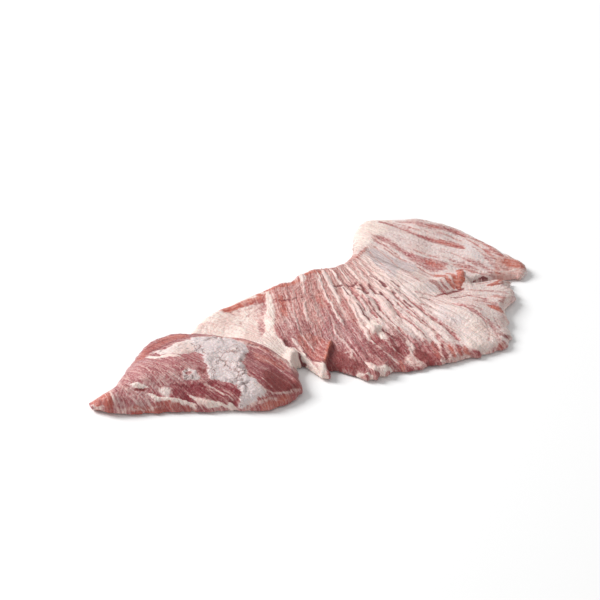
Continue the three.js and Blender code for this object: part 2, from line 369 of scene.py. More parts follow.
TIP_LOBE_MARKS = (
    # The lean's own red behind the back rim, painted deeper for the shade that falls on it.
    Mark("lean under back rim", Tissue.RED, ((136, 362), (147, 351), (160, 343), (172, 338), (186, 336)),
        half=5.2, torn=2.4, soft=2.4, cover=0.9),
    Mark("orange on back rim", Tissue.CUT, ((160, 339), (170, 336.5), (184, 335.5)), half=1.8, torn=1.6,
        soft=1.6, cover=0.5),
    Mark("left half's lean", Tissue.MAUVE, ((117, 391), (138, 382), (152, 375), (176, 373), (188, 379),
        (172, 385), (156, 393), (164, 404), (150, 409), (125, 412), (114, 406)), torn=1.5, soft=4,
        cover=0.45),
    Mark("dark middle muscle", Tissue.WINE, ((172, 384), (196, 383), (212, 380), (226, 385), (241, 392),
        (240, 402), (233, 407), (224, 402), (210, 397), (195, 394), (184, 390)), torn=1.2, soft=2.2,
        rise=-0.5),
    Mark("dark muscle by white spot", Tissue.WINE, ((172, 390), (186, 397), (199, 408)), half=3.2, torn=1,
        soft=1.6),
    Mark("dark muscle over patch", Tissue.DARK, ((199, 369), (207, 372)), half=2.6, soft=1.4, rise=-0.3,
        cover=0.8),
    Mark("right muscle", Tissue.WINE, ((247, 352), (256, 354), (272, 360), (290, 369), (302, 380),
        (298, 391), (286, 397), (268, 397), (258, 387), (248, 377), (246, 364)), torn=1.4, soft=3,
        cover=0.65),
    Mark("right muscle's brown top", Tissue.BROWN, ((252, 351), (266, 356), (282, 364), (292, 372),
        (274, 366), (256, 360)), torn=1.2, soft=3, cover=0.8),
    Mark("right muscle's dark heart", Tissue.DARK, ((262, 370), (274, 370), (290, 379), (299, 389),
        (284, 393), (266, 390)), torn=1.6, soft=3.4),
    Mark("right corner", Tissue.CRIMSON, ((296, 378), (300, 388)), half=3.4, soft=1.5, cover=0.8),
    Mark("lower right edge", Tissue.CRIMSON, ((246, 402), (270, 397), (300, 392), (292, 406), (263, 413),
        (242, 413)), torn=1.4, soft=2.5, cover=0.85),
    Mark("orange on lower right edge", Tissue.CUT, ((262, 407), (276, 405), (290, 400)), half=2.4, torn=1.8,
        soft=2, cover=0.55),
    Mark("cream head", Tissue.SATIN, ((156, 352), (168, 347.5), (177, 342.5), (188, 339.5), (197, 341),
        (199, 350), (190, 353), (180, 354), (170, 354), (160, 354.5)), torn=1.8, soft=2.6, rise=0.5),
    Mark("cream tongue", Tissue.CREAM, ((146, 357.5), (156, 357.5), (168, 355.5), (180, 356)), half=1.6,
        torn=1, soft=1.2, rise=0.5, cover=0.9),
    Mark("veil over tongue", Tissue.FILM, ((150, 353.5), (160, 351), (170, 350)), half=1.5, torn=1.2, soft=2,
        cover=0.5),
    Mark("pink tongue in cream", Tissue.LEAN, ((172, 352), (184, 351), (198, 356)), half=1.4, torn=0.9,
        soft=2.2, cover=0.4),
    Mark("veil right of tongue", Tissue.VEILED, ((180, 358), (192, 357), (203, 362), (206, 368), (194, 366),
        (182, 362)), torn=1.6, soft=3, cover=0.8),
    Mark("pitted film", Tissue.FILM, ((190, 338.5), (198, 336.5), (212, 336.5), (228, 338), (243, 343),
        (249, 349), (245, 358), (241, 362), (247, 370), (248, 376), (255, 378), (262, 387), (267, 395),
        (258, 398), (252, 402), (247, 408), (242, 410), (238, 406), (241, 398), (241, 389), (232, 383),
        (220, 382), (210, 379), (207, 372), (208, 366), (202, 360), (203, 354), (195, 352), (192, 346)),
        torn=2.8, soft=1.3, rise=0.7),
    Mark("ring of fat", Tissue.FILM, ((183, 371), (189, 368.5), (195, 370), (200, 376), (200, 379.5),
        (191, 380), (184, 379.5)), torn=1.5, soft=1.4, rise=0.4, cover=0.9),
    Mark("pink hole in ring", Tissue.LEAN, ((186, 373.5), (191, 372.5)), half=1.1, torn=0.5, rise=-0.4),
    Mark("left flap of fat", Tissue.CREAM, ((130, 384), (137, 381.5), (141, 384), (149, 387), (142, 389),
        (134, 387.5)), torn=0.5, soft=0.6, rise=1.3),
    Mark("shadow under left flap", Tissue.DARK, ((135, 389.5), (146, 390)), half=0.9, torn=0.4, rise=-0.4,
        cover=0.9),
    Mark("white spot", Tissue.SATIN, ((159, 391), (164, 387), (170, 388), (171, 393), (168, 398),
        (163, 396)), torn=1.8, soft=3, rise=0.1, cover=0.9),
    Mark("upper strip of fat", Tissue.CREAM, ((149, 395), (157, 399), (168, 400.5), (180, 403), (190, 406),
        (199, 411.5)), half=1.9, torn=0.5, soft=0.6, rise=1.2),
    Mark("lower strip of fat", Tissue.CREAM, ((186, 393), (196, 398), (208, 400), (217, 402.5), (229, 409),
        (222, 411.5), (205, 411), (198, 404), (190, 397.5)), soft=0.6, rise=1.2),
    Mark("shadow above lower strip", Tissue.DARK, ((192, 394), (206, 397.5), (218, 400.5)), half=0.7,
        torn=0.4, rise=-0.3, cover=0.7),
    Mark("small tail of fat", Tissue.CREAM, ((228, 407), (236, 411.5)), half=0.9, torn=0.3, soft=0.6,
        rise=0.5),
    Mark("orange under strip", Tissue.CUT, ((158, 405), (170, 404.5), (182, 407)), half=1.8, torn=0.9,
        soft=1.4, cover=0.75),
    Mark("dark left of strips", Tissue.WINE, ((196, 408), (206, 411)), half=2, torn=0.9, soft=1.4,
        cover=0.8),
    # Red lean along the lobe's lower edge, painted deeper for the shade on its turned-under side.
    Mark("red lower edge", Tissue.RED, ((128, 414), (150, 412.5), (175, 411), (196, 411)), half=2.4,
        torn=0.7, soft=1.6, cover=0.9),
    Mark("crimson on lower edge", Tissue.CRIMSON, ((152, 406), (165, 406), (180, 408.5), (192, 412)),
        half=1.8, torn=0.7, soft=1.4, cover=0.7),
    Mark("lip of lower edge", Tissue.ROSY, ((113, 407), (120, 410), (135, 410.5), (150, 409), (162, 406)),
        half=0.6, torn=0.4, rise=0.4, cover=0.7),
    Mark("orange tip", Tissue.CUT, ((90, 406), (97, 394), (109, 390), (114, 403), (107, 411), (97, 410)),
        torn=2.6, soft=3, cover=0.7),
    Mark("shade in curled tip", Tissue.DARK, ((96, 400), (101, 403), (107, 405)), half=1.4, soft=1.4,
        rise=-0.3, cover=0.7),
    Mark("fat on tip's edge", Tissue.CREAM, ((90, 406), (96, 408), (104, 406)), half=0.8, rise=0.4,
        cover=0.6),
    # Painted shadow in the hollow of the curled tip.
    Mark("painted shadow in tip's hollow", Tissue.RED, ((94, 401), (98, 403.5)), half=1.6, soft=1.2, rise=-0.5,
        cover=0.9),
    Mark("red behind tip's fat", Tissue.RED, ((106, 398), (110, 405), (112, 413)), half=2.6, soft=1.6,
        cover=0.85),
    Mark("pale line behind tip", Tissue.CREAM, ((109, 391), (114.5, 403)), half=0.7, torn=0.3, rise=0.3,
        cover=0.55),
    Mark("pale lip of overlap", Tissue.ROSY, ((240, 341), (252, 345), (264, 350), (277, 356.5), (290, 365),
        (298, 373)), half=2.2, torn=0.9, soft=1.6, rise=0.3, cover=0.75),
    Mark("overlapped edge", Tissue.CUT, ((190, 338), (215, 337), (240, 339.5), (252, 343.5), (262, 348.5),
        (275, 356), (290, 367)), half=1.1, torn=0.4, rise=0.3, cover=0.6),
)

LOBE_PALE_LINES = (
    (0.6, (148, 362), (160, 368), (176, 377)),
    (0.6, (138, 366), (150, 370), (164, 380)),
    (0.8, (252, 384), (262, 391), (270, 398)),
    (1.1, (270, 354), (283, 361), (292, 369), (299, 377)),
    (0.7, (256, 381), (263, 389), (272, 393.5), (286, 394), (300, 390)),
    (0.6, (205, 383), (222, 392), (236, 401)),
    (1.0, (248, 406), (262, 402), (278, 399)),
)

# Two behind the back rim and two on the overlap.
LOBE_SHADOW_LINES = (
    (0.6, (146, 350), (157, 343), (170, 338.5)),
    (0.5, (146, 354), (157, 349), (167, 344.5), (176, 340.5)),
    (0.6, (247, 343.5), (258, 346.5)),
    (0.6, (261, 347), (270, 352)),
)

# On the left, in the middle and on the right.
LOBE_HAIR_LINES = (
    (0.5, (146, 360), (162, 365), (182, 373)),
    (0.5, (136, 370), (152, 375), (168, 384)),
    (0.5, (128, 378), (142, 379), (156, 387)),
    (0.5, (156, 362), (172, 365), (190, 368)),
    (0.5, (126, 388), (131, 396), (139, 404)),
    (0.5, (200, 386), (214, 392), (228, 401)),
    (0.5, (214, 384), (228, 391), (238, 399)),
    (0.6, (254, 356), (268, 362), (284, 372), (296, 382)),
    (0.5, (252, 362), (264, 368), (280, 378), (294, 387)),
    (0.6, (250, 370), (260, 377), (272, 387)),
    (0.5, (270, 358), (284, 366), (294, 374)),
)

FAT_BRIDGE_MARKS = (
    Mark("orange rim", Tissue.CUT, ((214, 313), (226, 309.5), (240, 305.5), (252, 301.5), (262, 298.5),
        (258, 295)), half=3.3, torn=1.8, soft=1.6, rise=0.5, cover=0.75),
    Mark("brown foot of rim", Tissue.RED, ((219, 312), (230, 310), (242, 306.5), (254, 303)), half=1.1,
        torn=1.8, soft=1.4, rise=-0.2, cover=0.6),
    Mark("orange corner", Tissue.CUT, ((205, 313.5), (214, 312.5)), half=1, torn=0.4, soft=1.2, cover=0.55),
    Mark("lean behind rim", Tissue.BROWN, ((252, 303), (262, 300), (265, 294)), half=3, torn=1.6, soft=2,
        cover=0.75),
    Mark("cream band", Tissue.CREAM, ((266.5, 292), (269.5, 305), (270, 318), (269, 330)), half=3, soft=1.2,
        rise=0.6),
    Mark("rosy dip", Tissue.ROSY, ((204, 322), (216, 322), (216, 334), (208, 336)), torn=1, soft=4,
        cover=0.5),
    Mark("white knob", Tissue.CREAM, ((287, 352), (293, 347), (298, 351), (300, 360), (298, 369), (292, 368),
        (286, 360)), soft=1.2, rise=0.9),
)

BRIDGE_STREAK_LINES = (
    (1.8, (231, 311), (236, 318)),
    (1.4, (238, 309), (241, 326)),
    (1.6, (247, 304), (250, 318)),
    (1.4, (254, 303), (255, 322)),
    (2.2, (259, 300), (261, 318), (262, 335)),
    (1.8, (264, 298), (264.5, 314)),
)

BRIDGE_BLUSH_LINES = (
    (1.6, (222, 314), (226, 322), (224, 333)),
    (1.4, (243, 309), (245, 322), (250, 336)),
    (1.2, (233, 318), (236, 330)),
)

FAN_SEAM_LINES = (
    (1.1, (316.5, 270.5), (321, 284), (327, 297), (335, 311), (344, 325)),
    (2.1, (323, 271), (329, 281), (334, 291), (340, 302)),
    (1.2, (331, 269.5), (341, 286), (349, 301), (358, 319), (366, 334), (373.5, 344)),
    (2.5, (343, 286.5), (352, 298), (360, 310), (368, 321)),
    (1.9, (354, 283), (365, 297), (374, 311), (383, 323)),
    (2.1, (366, 295), (378, 311), (390, 321), (404, 333)),
    (2.1, (377, 294), (391, 311), (405, 322), (420, 333), (430, 344)),
    (2.0, (384, 290), (399, 305), (416, 319), (431, 330), (446, 343)),
    (1.9, (394, 289), (410, 303), (426, 316), (441, 325), (458, 336)),
    (1.6, (404, 289), (420, 303), (438, 314), (456, 324)),
)

# On the upper band, the left lean and the low edge.
FAN_HAIR_LINES = (
    (0.7, (338, 267), (350, 282)),
    (0.8, (345, 264), (361, 283)),
    (0.9, (352, 261), (371, 286)),
    (0.9, (357, 258.5), (381, 289)),
    (1.0, (363, 257), (392, 291)),
    (1.0, (369, 257), (399, 290)),
    (1.0, (383, 268), (404, 288)),
    (0.6, (302, 275), (303.5, 285), (305, 294)),
    (0.9, (304.5, 300), (305.5, 312), (308, 323)),
    (0.7, (293, 303), (295, 318), (299, 330)),
    (0.8, (300, 333), (306, 340), (313, 349)),
    (1.2, (293, 339), (300, 347), (306, 356)),
    (0.7, (333, 322), (335, 330), (338, 335), (347, 345), (357, 354)),
    (0.8, (345, 353), (352, 351), (352, 358), (357, 362)),
    (1.1, (377, 345), (385, 352), (392, 358), (399, 363)),
    (0.8, (384, 339), (393, 347), (404, 358)),
    (0.9, (406, 337), (411, 345), (416, 354)),
)

FAN_GROOVE_LINES = (
    (0.9, (349, 287), (358, 299), (366, 311)),
    (1.1, (361, 293), (369, 306), (377, 318)),
    (1.1, (372, 296), (384, 313), (397, 327), (412, 342)),
    (1.0, (382, 293), (396, 310), (411, 322), (426, 336)),
    (0.9, (390, 290), (405, 305), (421, 319), (438, 333)),
    (0.8, (400, 290), (415, 304), (433, 317), (450, 328)),
    (1.0, (414, 338), (424, 351)),
    (1.0, (424, 338), (436, 352)),
    (1.0, (436, 336), (448, 348)),
    (1.1, (446, 328), (460, 341)),
    (0.8, (440, 300), (458, 305), (480, 313)),
    (0.9, (420, 304), (434, 306)),
    (0.8, (450, 297), (468, 295.5), (488, 299)),
    (1.1, (430, 318), (442, 326)),
    (0.8, (396, 302), (411, 315), (428, 327), (442, 338)),
    (0.7, (408, 300), (424, 313), (440, 322), (456, 331)),
    (0.7, (404, 333), (414, 343), (420, 350)),
)

FAN_GROUND_MARKS = (
    Mark("left lean", Tissue.VEILED, ((277, 326), (290, 318), (311, 322), (317, 334), (304, 345), (285, 345),
        (278, 335)), torn=1.6, soft=5, cover=0.5),
    Mark("upper band", Tissue.ROSY, ((340, 268), (364, 256), (384, 264), (404, 284), (398, 294), (376, 288),
        (352, 284)), torn=1.6, soft=5, cover=0.4),
    Mark("orange rim one", Tissue.CUT, ((265, 291), (275, 287), (290, 284), (300, 280)), half=3, torn=1,
        soft=2.4, cover=0.65),
    Mark("orange rim two", Tissue.CUT, ((304, 274.5), (315, 271.5), (323, 272.5)), half=3, torn=1, soft=2.4,
        cover=0.7),
    Mark("orange lean on left", Tissue.CUT, ((278, 295), (283, 305), (284, 315)), half=3, torn=1.4, soft=3.5,
        cover=0.45),
    Mark("orange lean by first seam", Tissue.CUT, ((316, 292), (325, 306), (330, 314)), half=3, torn=1.4,
        soft=3.5, cover=0.35),
    Mark("fat speck at rim", Tissue.SATIN, ((299, 277), (302.5, 274), (306, 278), (303.5, 282), (300, 281)),
        torn=0.5, rise=0.6),
    # Painted shade in the crack and the notch, over deep red.
    Mark("crack", Tissue.NOTCH_SHADE, ((274, 299.5), (282, 300.5), (287, 299.4), (292, 299.6), (298, 296.5)),
        half=0.35, torn=1.1, soft=0.6, rise=-0.9, cover=0.9),
    Mark("crack's far end", Tissue.NOTCH_SHADE, ((300, 298), (306, 296.5), (313, 295)), half=0.25, torn=1.2,
        soft=0.6, rise=-0.5, cover=0.8),
    Mark("dark notch", Tissue.NOTCH_SHADE, ((285.5, 340), (289, 346)), half=1.8, torn=0.5, soft=1.2, rise=-1,
        cover=0.7),
    Mark("mauve middle", Tissue.VEILED, ((322, 322), (332, 316), (350, 320), (362, 331), (372, 344),
        (366, 352), (350, 352), (335, 343), (322, 338)), torn=1.5, soft=5, cover=0.85),
    Mark("mauve above middle", Tissue.VEILED, ((316, 310), (328, 306), (342, 312), (354, 326), (348, 334),
        (334, 328), (322, 320)), torn=1.5, soft=4, cover=0.6),
    Mark("wine corner", Tissue.WINE, ((352, 344), (374, 337), (390, 337), (404, 342), (410, 352), (403, 360),
        (386, 359), (370, 353), (356, 356), (348, 352)), torn=1.4, soft=3, cover=0.35),
    Mark("wine corner's heart", Tissue.DARK, ((392, 344), (403, 347), (405, 355), (396, 354)), torn=1.4,
        soft=3, cover=0.6),
    Mark("torn flap", Tissue.BROWN, ((296, 336), (310, 333), (325, 339), (331, 341), (328, 351), (323, 362),
        (312, 358), (301, 348)), torn=1, soft=2.5, cover=0.7),
    Mark("torn flap's edge", Tissue.CUT, ((331, 342), (328, 351), (325, 361)), half=1.5, rise=0.6),
    # Wine lean on the wall under the flap, with painted shade.
    Mark("lean under flap", Tissue.DARK, ((332, 342), (341, 350), (349, 358), (346, 367), (334, 370),
        (327, 365), (328, 353)), torn=1, soft=2, rise=-0.3, cover=0.9),
)

FAN_DETAIL_MARKS = (
    Mark("lean by low edge", Tissue.DARK, ((347, 356), (360, 362), (366, 369), (352, 371), (345, 366)),
        torn=1, soft=2, cover=0.8),
    Mark("hanging tail", Tissue.CREAM, ((297, 351), (303, 352), (313, 362), (326, 365), (326, 373),
        (323, 380), (316, 372), (306, 363), (300, 358)), torn=0.9, soft=1.4, rise=0.4),
    Mark("pink in hanging tail", Tissue.LEAN, ((306, 356), (312, 362), (319, 370)), half=1.2, torn=1.4,
        soft=1.6, cover=0.55),
    Mark("tail's dark upper edge", Tissue.DARK, ((304, 352), (312, 359), (322, 363)), half=0.8, torn=0.9,
        soft=1.2, rise=-0.3, cover=0.6),
    # Painted shadow in the gap beside the tail.
    Mark("gap by tail", Tissue.NOTCH_SHADE, ((298.5, 352), (300, 358), (301, 362.5), (306, 365.5)), half=1,
        torn=0.4, rise=-0.8, cover=0.85),
    Mark("knob of fat", Tissue.CREAM, ((367, 321), (374, 319), (381, 324), (380, 330), (372, 334),
        (367, 329)), rise=0.6),
    Mark("small fat below knob", Tissue.CREAM, ((376, 331), (383, 333), (389, 339), (382, 339)), rise=0.5),
    Mark("shadow beside knob", Tissue.NOTCH_SHADE, ((381, 328), (388, 333), (400, 340)), half=0.8, torn=0.5,
        rise=-0.6, cover=0.7),
    Mark("low edge fat one", Tissue.CREAM, ((348, 373), (360, 373), (374, 376), (372, 379.5), (358, 379)),
        rise=0.4),
    Mark("low edge fat two", Tissue.CREAM, ((366, 362), (378, 366), (392, 368), (401, 371), (394, 376),
        (380, 376), (369, 369)), torn=0.9, rise=0.5, cover=0.9),
    Mark("low edge fat three", Tissue.ROSY, ((404, 358), (410, 353), (416, 358), (425, 361), (420, 367),
        (408, 367), (403, 363)), torn=1.9, soft=2.2, rise=0.4, cover=0.85),
    Mark("hair into low edge fat", Tissue.SEAM, ((407, 341), (410, 348), (412, 356)), half=0.9, rise=0.3,
        cover=0.8),
    Mark("orange bit", Tissue.CUT, ((400.5, 361), (404, 371)), half=1.4, torn=0.9, soft=1.4, cover=0.5),
    Mark("red edge", Tissue.DARK, ((414, 349), (426, 352), (438, 354), (441, 361), (428, 365), (420, 361),
        (414, 355)), torn=1.2, soft=2, cover=0.85),
    Mark("rosy edge", Tissue.ROSY, ((433, 342), (448, 344), (460, 347), (471, 349), (468, 357), (455, 360),
        (444, 361), (437, 353)), torn=2, soft=3, cover=0.7),
    Mark("red streak one", Tissue.RED, ((432, 341), (436, 350), (439, 360)), half=1.8, torn=1.3, soft=1.4,
        cover=0.85),
    Mark("red streak two", Tissue.DARK, ((441, 344), (444, 352), (447, 359)), half=1.3, torn=1.3, soft=1.4,
        cover=0.85),
    Mark("red streak three", Tissue.CUT, ((449, 345), (452, 352), (455, 358)), half=1.5, torn=1.3, soft=1.4,
        cover=0.8),
    Mark("red streak four", Tissue.RED, ((457, 347), (460, 352), (463, 357)), half=1.2, torn=1.3, soft=1.4,
        cover=0.8),
    Mark("red streak five", Tissue.CUT, ((464, 347), (467, 352), (470, 356)), half=1.2, torn=1.2, soft=1.4,
        cover=0.75),
    Mark("fat on red edge", Tissue.ROSY, ((440, 362), (455, 360), (470, 356.5)), half=1.2, torn=0.9,
        soft=1.2, rise=0.2, cover=0.8),
    Mark("cushion", Tissue.SATIN, ((462, 326), (475, 316), (489, 321), (494, 335), (499, 348), (482, 353),
        (470, 348), (463, 339)), torn=1, soft=4, rise=0.3),
    Mark("far corner", Tissue.DARK, ((497, 333), (504, 336), (509, 339)), half=1.9, torn=1.1, soft=2.5,
        cover=0.56),
    Mark("far corner below", Tissue.CUT, ((498, 347), (505, 344)), half=1.8, torn=1.1, soft=2.5, cover=0.49),
    Mark("right red one", Tissue.CUT, ((489, 306), (496, 308), (503, 312)), half=2.8, torn=2.4, soft=3,
        rise=-0.2, cover=0.8),
    Mark("right red two", Tissue.CUT, ((492, 296), (506, 300)), half=2, torn=1.3, soft=2.5, cover=0.49),
    Mark("right red three", Tissue.CUT, ((498, 301), (507, 304)), half=1.6, torn=1.3, soft=2.5, cover=0.42),
    Mark("bright finger", Tissue.SATIN, ((470, 285), (486, 285), (500, 287)), half=2.4, torn=1.3, soft=2.5,
        rise=0.3, cover=0.7),
    Mark("patch above cushion", Tissue.FILM, ((440, 304), (450, 306), (449, 317), (437, 322), (438, 311)),
        soft=1.5, cover=0.6),
    Mark("lilac patch", Tissue.FILM, ((446, 318), (456, 315), (463, 316), (461, 323), (452, 324)), torn=1.2,
        soft=2.2, rise=0.2, cover=0.7),
    Mark("white top of cushion", Tissue.CREAM, ((468, 322), (480, 318), (487, 326), (484, 334), (472, 332)),
        torn=1.6, soft=3.2, rise=0.3, cover=0.85),
    Mark("white foot of cushion", Tissue.CREAM, ((466, 338), (478, 338), (488, 344), (478, 350), (468, 346)),
        torn=1.6, soft=3.2, rise=0.2, cover=0.75),
    # Cream along the right rim: pale shreds of fat, painted brighter against the shade of the rim that turns
    # from the lamp.
    Mark("pale right rim", Tissue.CREAM, ((500, 278), (508, 279), (513, 286), (510, 296), (506, 306),
        (506, 318), (506, 330)), half=1.6, torn=1.2, soft=2, rise=0.3, cover=0.75),
    Mark("red line below patch", Tissue.DARK, ((439, 323), (444, 327), (456, 335)), half=1, torn=0.4,
        rise=-0.3, cover=0.6),
)

# Along the bright finger, beside the cushion and across the fat.
RIGHT_LEAN_LINES = (
    (1.1, (470, 289), (490, 291), (510, 294)),
    (1.0, (500, 286), (512, 288), (514, 294)),
    (1.1, (470, 309), (480, 315), (487, 322)),
    (1.2, (487, 318), (494, 328), (498, 338)),
    (0.9, (452, 303), (466, 305), (484, 310)),
    (1.6, (474, 300), (486, 301), (498, 305)),
)

CRINKLE_LINES = (
    (0.7, (486, 322), (490, 332), (489, 341)),
    (0.7, (494, 317), (499, 327), (503, 333)),
    (0.7, (484, 346), (491, 349), (500, 345)),
    (0.7, (492, 335), (498, 340), (505, 343)),
)

# Painted shade in the small cracks across the upper fan.
CRACK_LINES = (
    (0.8, (333, 286.3), (342, 286)),
    (0.8, (346, 284), (352, 286), (357, 282)),
    (0.9, (369, 283), (371, 288), (377, 294)),
    (0.8, (380, 291), (383, 294), (386, 299)),
    (0.7, (387, 300), (393, 304)),
    (0.7, (404, 301), (409, 304), (415, 308)),
    (0.7, (379, 280), (387, 286)),
    (0.7, (391, 281), (400, 287)),
    (0.6, (343, 289), (349, 296)),
    (0.7, (360, 284), (366, 292)),
    (0.6, (396, 289), (403, 294)),
    (0.6, (356, 303), (364, 314), (369, 320)),
    (0.6, (368, 300), (375, 311), (382, 320)),
    (0.7, (358, 289), (362, 290.5)),
    (0.7, (364.5, 291.5), (368, 293.5)),
    (0.7, (376, 294), (382, 295)),
    (0.7, (392, 291.5), (396, 293)),
    (0.7, (370, 275), (377, 279)),
    (0.6, (420, 297), (430, 300)),
)

FOLD_MARKS = (
    Mark("fold's cream", Tissue.SATIN, ((400, 285), (412, 282), (426, 283), (436, 286), (440, 292),
        (430, 298), (412, 297), (402, 292)), torn=1, soft=2.5, rise=0.2, cover=0.8),
    Mark("fold's film", Tissue.FILM, ((424, 283), (436, 284), (438, 292), (428, 292)), soft=2, cover=0.6),
    Mark("fold's pink", Tissue.LEAN, ((414, 292), (426, 294), (436, 296)), half=1.4, soft=1.6, cover=0.6),
    Mark("red line one", Tissue.CUT, ((434, 274), (446, 277), (454, 288)), half=1.5, soft=1.6, rise=-0.3,
        cover=0.85),
    Mark("red line two", Tissue.CUT, ((446, 272.5), (454, 277), (458, 288)), half=1.5, soft=1.6, rise=-0.3,
        cover=0.85),
    Mark("red line three", Tissue.LEAN, ((430, 280), (438, 285), (446, 294)), half=1.7, torn=0.9, soft=1.6,
        rise=-0.2, cover=0.7),
    Mark("red line four", Tissue.LEAN, ((440, 280), (448, 290)), half=1.4, soft=1.4, rise=-0.2, cover=0.75),
    Mark("shadow under fold", Tissue.DARK, ((436, 296), (452, 292), (464, 288)), half=1.2, soft=1.4,
        rise=-0.4, cover=0.75),
    Mark("red cut lump", Tissue.CUT, ((456, 270), (462, 268), (465, 280), (461, 288), (455, 285),
        (457, 278)), rise=0.6, cover=0.9),
    # Painted shade in the cleft.
    Mark("dark of cleft", Tissue.NOTCH_SHADE, ((468, 282), (474, 280), (481, 278.5), (489, 279)), half=0.9,
        torn=0.5, rise=-0.3, cover=0.85),
    Mark("cream end", Tissue.SATIN, ((465, 275), (475, 273), (482, 276), (474, 281), (466, 285)), rise=0.2),
    Mark("red finger", Tissue.CUT, ((488, 286), (495, 284), (503, 281)), half=3, torn=1.6, soft=1.8,
        rise=0.5, cover=0.8),
    Mark("finger's pale end", Tissue.SATIN, ((498, 283.5), (506, 281)), half=1, torn=1, soft=1.4, rise=0.3,
        cover=0.7),
    Mark("finger's pink top", Tissue.LEAN, ((476, 285), (486, 282.5), (492, 281)), half=1, torn=1.2,
        soft=1.6, cover=0.6),
)

FAR_LOBE_MARKS = (
    Mark("white root", Tissue.CREAM, ((354, 240), (357, 227), (364, 219), (376, 216), (394, 221), (388, 232),
        (376, 236), (364, 250), (355, 251)), torn=1.2, soft=5),
    Mark("orange sliver", Tissue.CUT, ((357, 258), (362, 252), (367, 247)), half=1.8, soft=1.2, rise=0.5,
        cover=0.5),
    Mark("stripe one", Tissue.LEAN, ((380, 222), (395, 226), (408, 231), (420, 236), (435, 241), (450, 245),
        (464, 249)), half=2.6, torn=1.7, soft=3.6, rise=-0.3, cover=0.8),
    Mark("stripe one's wide end", Tissue.BROWN, ((438, 241), (452, 244), (464, 248)), half=3.6, torn=1.5,
        soft=3.6, cover=0.7),
    Mark("stripe two", Tissue.LEAN, ((400, 221.5), (420, 223), (436, 226.5), (452, 231), (471, 238)),
        half=3.8, torn=2.7, soft=4.8, rise=-0.2, cover=0.72),
    Mark("stripe two's red heart", Tissue.CUT, ((428, 225), (440, 227.5)), half=2, torn=1.5, soft=3.6,
        cover=0.41),
    Mark("thin stripe", Tissue.LEAN, ((404, 227), (422, 231), (440, 235)), half=0.9, torn=1.1, soft=2.4,
        cover=0.49),
    Mark("far rim", Tissue.LEAN, ((403, 220.5), (425, 221), (442, 221)), half=1.4, torn=0.9, soft=2.8,
        cover=0.57),
    Mark("white far edge", Tissue.CREAM, ((444, 222.5), (456, 227), (464, 232)), half=1.6, torn=0.5,
        rise=0.2),
    Mark("right edge lean", Tissue.BROWN, ((474, 239), (484, 243), (492, 250), (504, 257)), half=2.6,
        torn=1.9, soft=4, cover=0.61),
    Mark("lean band", Tissue.LEAN, ((372, 234.5), (386, 236), (395, 242), (405, 249.5), (418, 255),
        (434, 259.5), (448, 262.5), (445, 269), (434, 273), (424, 269), (412, 260.5), (400, 252.5),
        (388, 244), (374, 238)), torn=2.8, soft=3.6, rise=-0.2, cover=0.68),
    Mark("lean band's red end", Tissue.CUT, ((426, 260), (436, 264), (444, 267)), half=3.4, torn=2.3, soft=4,
        cover=0.45),
    Mark("grey film", Tissue.DULL_FILM, ((366, 249), (380, 249), (392, 257), (404, 261), (416, 265),
        (418, 272), (408, 271), (398, 268), (395, 279), (384, 271), (372, 260)), torn=1.4, soft=2.4,
        rise=0.1),
    Mark("orange right streak", Tissue.CUT, ((452, 264), (466, 268), (476, 274)), half=1.4, torn=1.7,
        soft=3.2, cover=0.49),
    Mark("brown right streak", Tissue.BROWN, ((484, 249), (494, 258), (502, 266)), half=1.6, torn=1.7,
        soft=3.2, cover=0.53),
    Mark("pale right patch", Tissue.FILM, ((466, 244), (478, 248), (484, 258), (474, 258), (464, 252)),
        torn=1, soft=2, cover=0.6),
    Mark("lean on near side", Tissue.LEAN, ((468, 277), (484, 275), (500, 276)), half=2.4, torn=1.6,
        soft=2.2, cover=0.6),
    Mark("peach tip", Tissue.PEACH, ((496, 258), (508, 256), (519, 257), (530, 268), (520, 282), (500, 282),
        (494, 272)), torn=1.2, soft=2.4, cover=0.9),
    Mark("orange in tip", Tissue.CUT, ((504, 263), (513, 262), (521, 266)), half=4.5, torn=2.4, soft=3,
        cover=0.55),
    Mark("pale line in tip", Tissue.CREAM, ((500, 271), (508, 272), (516, 269)), half=0.8, torn=0.4,
        rise=0.2, cover=0.6),
    Mark("tip's dark line", Tissue.DARK, ((500, 267), (509, 269.5)), half=0.7, torn=0.4, rise=-0.3,
        cover=0.6),
)

# In the grey film and on the right.
FAR_STREAK_LINES = (
    (1.0, (373, 240), (384, 247), (394, 254)),
    (0.9, (370, 243), (380, 251)),
    (0.9, (401, 268), (410, 274), (420, 281)),
    (0.9, (408, 266), (420, 272), (430, 278)),
    (1.6, (447, 258), (458, 262), (470, 268), (480, 275)),
    (1.4, (466, 257), (478, 264), (492, 273)),
    (1.8, (472, 246), (484, 255), (494, 266), (499, 270)),
)

# On the upper stripes, at the root, in the middle and on the right.
FAR_LOBE_LINES = (
    (0.8, (384, 221), (400, 224), (416, 229), (430, 232)),
    (0.7, (408, 232), (424, 238), (442, 241)),
    (0.8, (432, 231), (448, 235), (462, 241)),
    (0.7, (444, 228), (458, 233), (470, 241)),
    (0.7, (372, 237), (386, 246), (399, 256)),
    (0.7, (374, 246), (388, 257), (399, 267)),
    (0.7, (368, 250), (380, 262), (392, 273)),
    (0.7, (384, 248), (397, 257), (411, 263)),
    (0.9, (414, 250), (428, 255), (442, 258)),
    (0.8, (416, 266), (428, 273), (440, 277)),
    (0.8, (450, 252), (462, 257), (476, 265)),
    (0.8, (478, 262), (490, 269), (500, 275)),
    (0.8, (462, 262), (474, 268), (486, 275)),
    (0.8, (470, 240), (482, 248), (493, 257)),
)


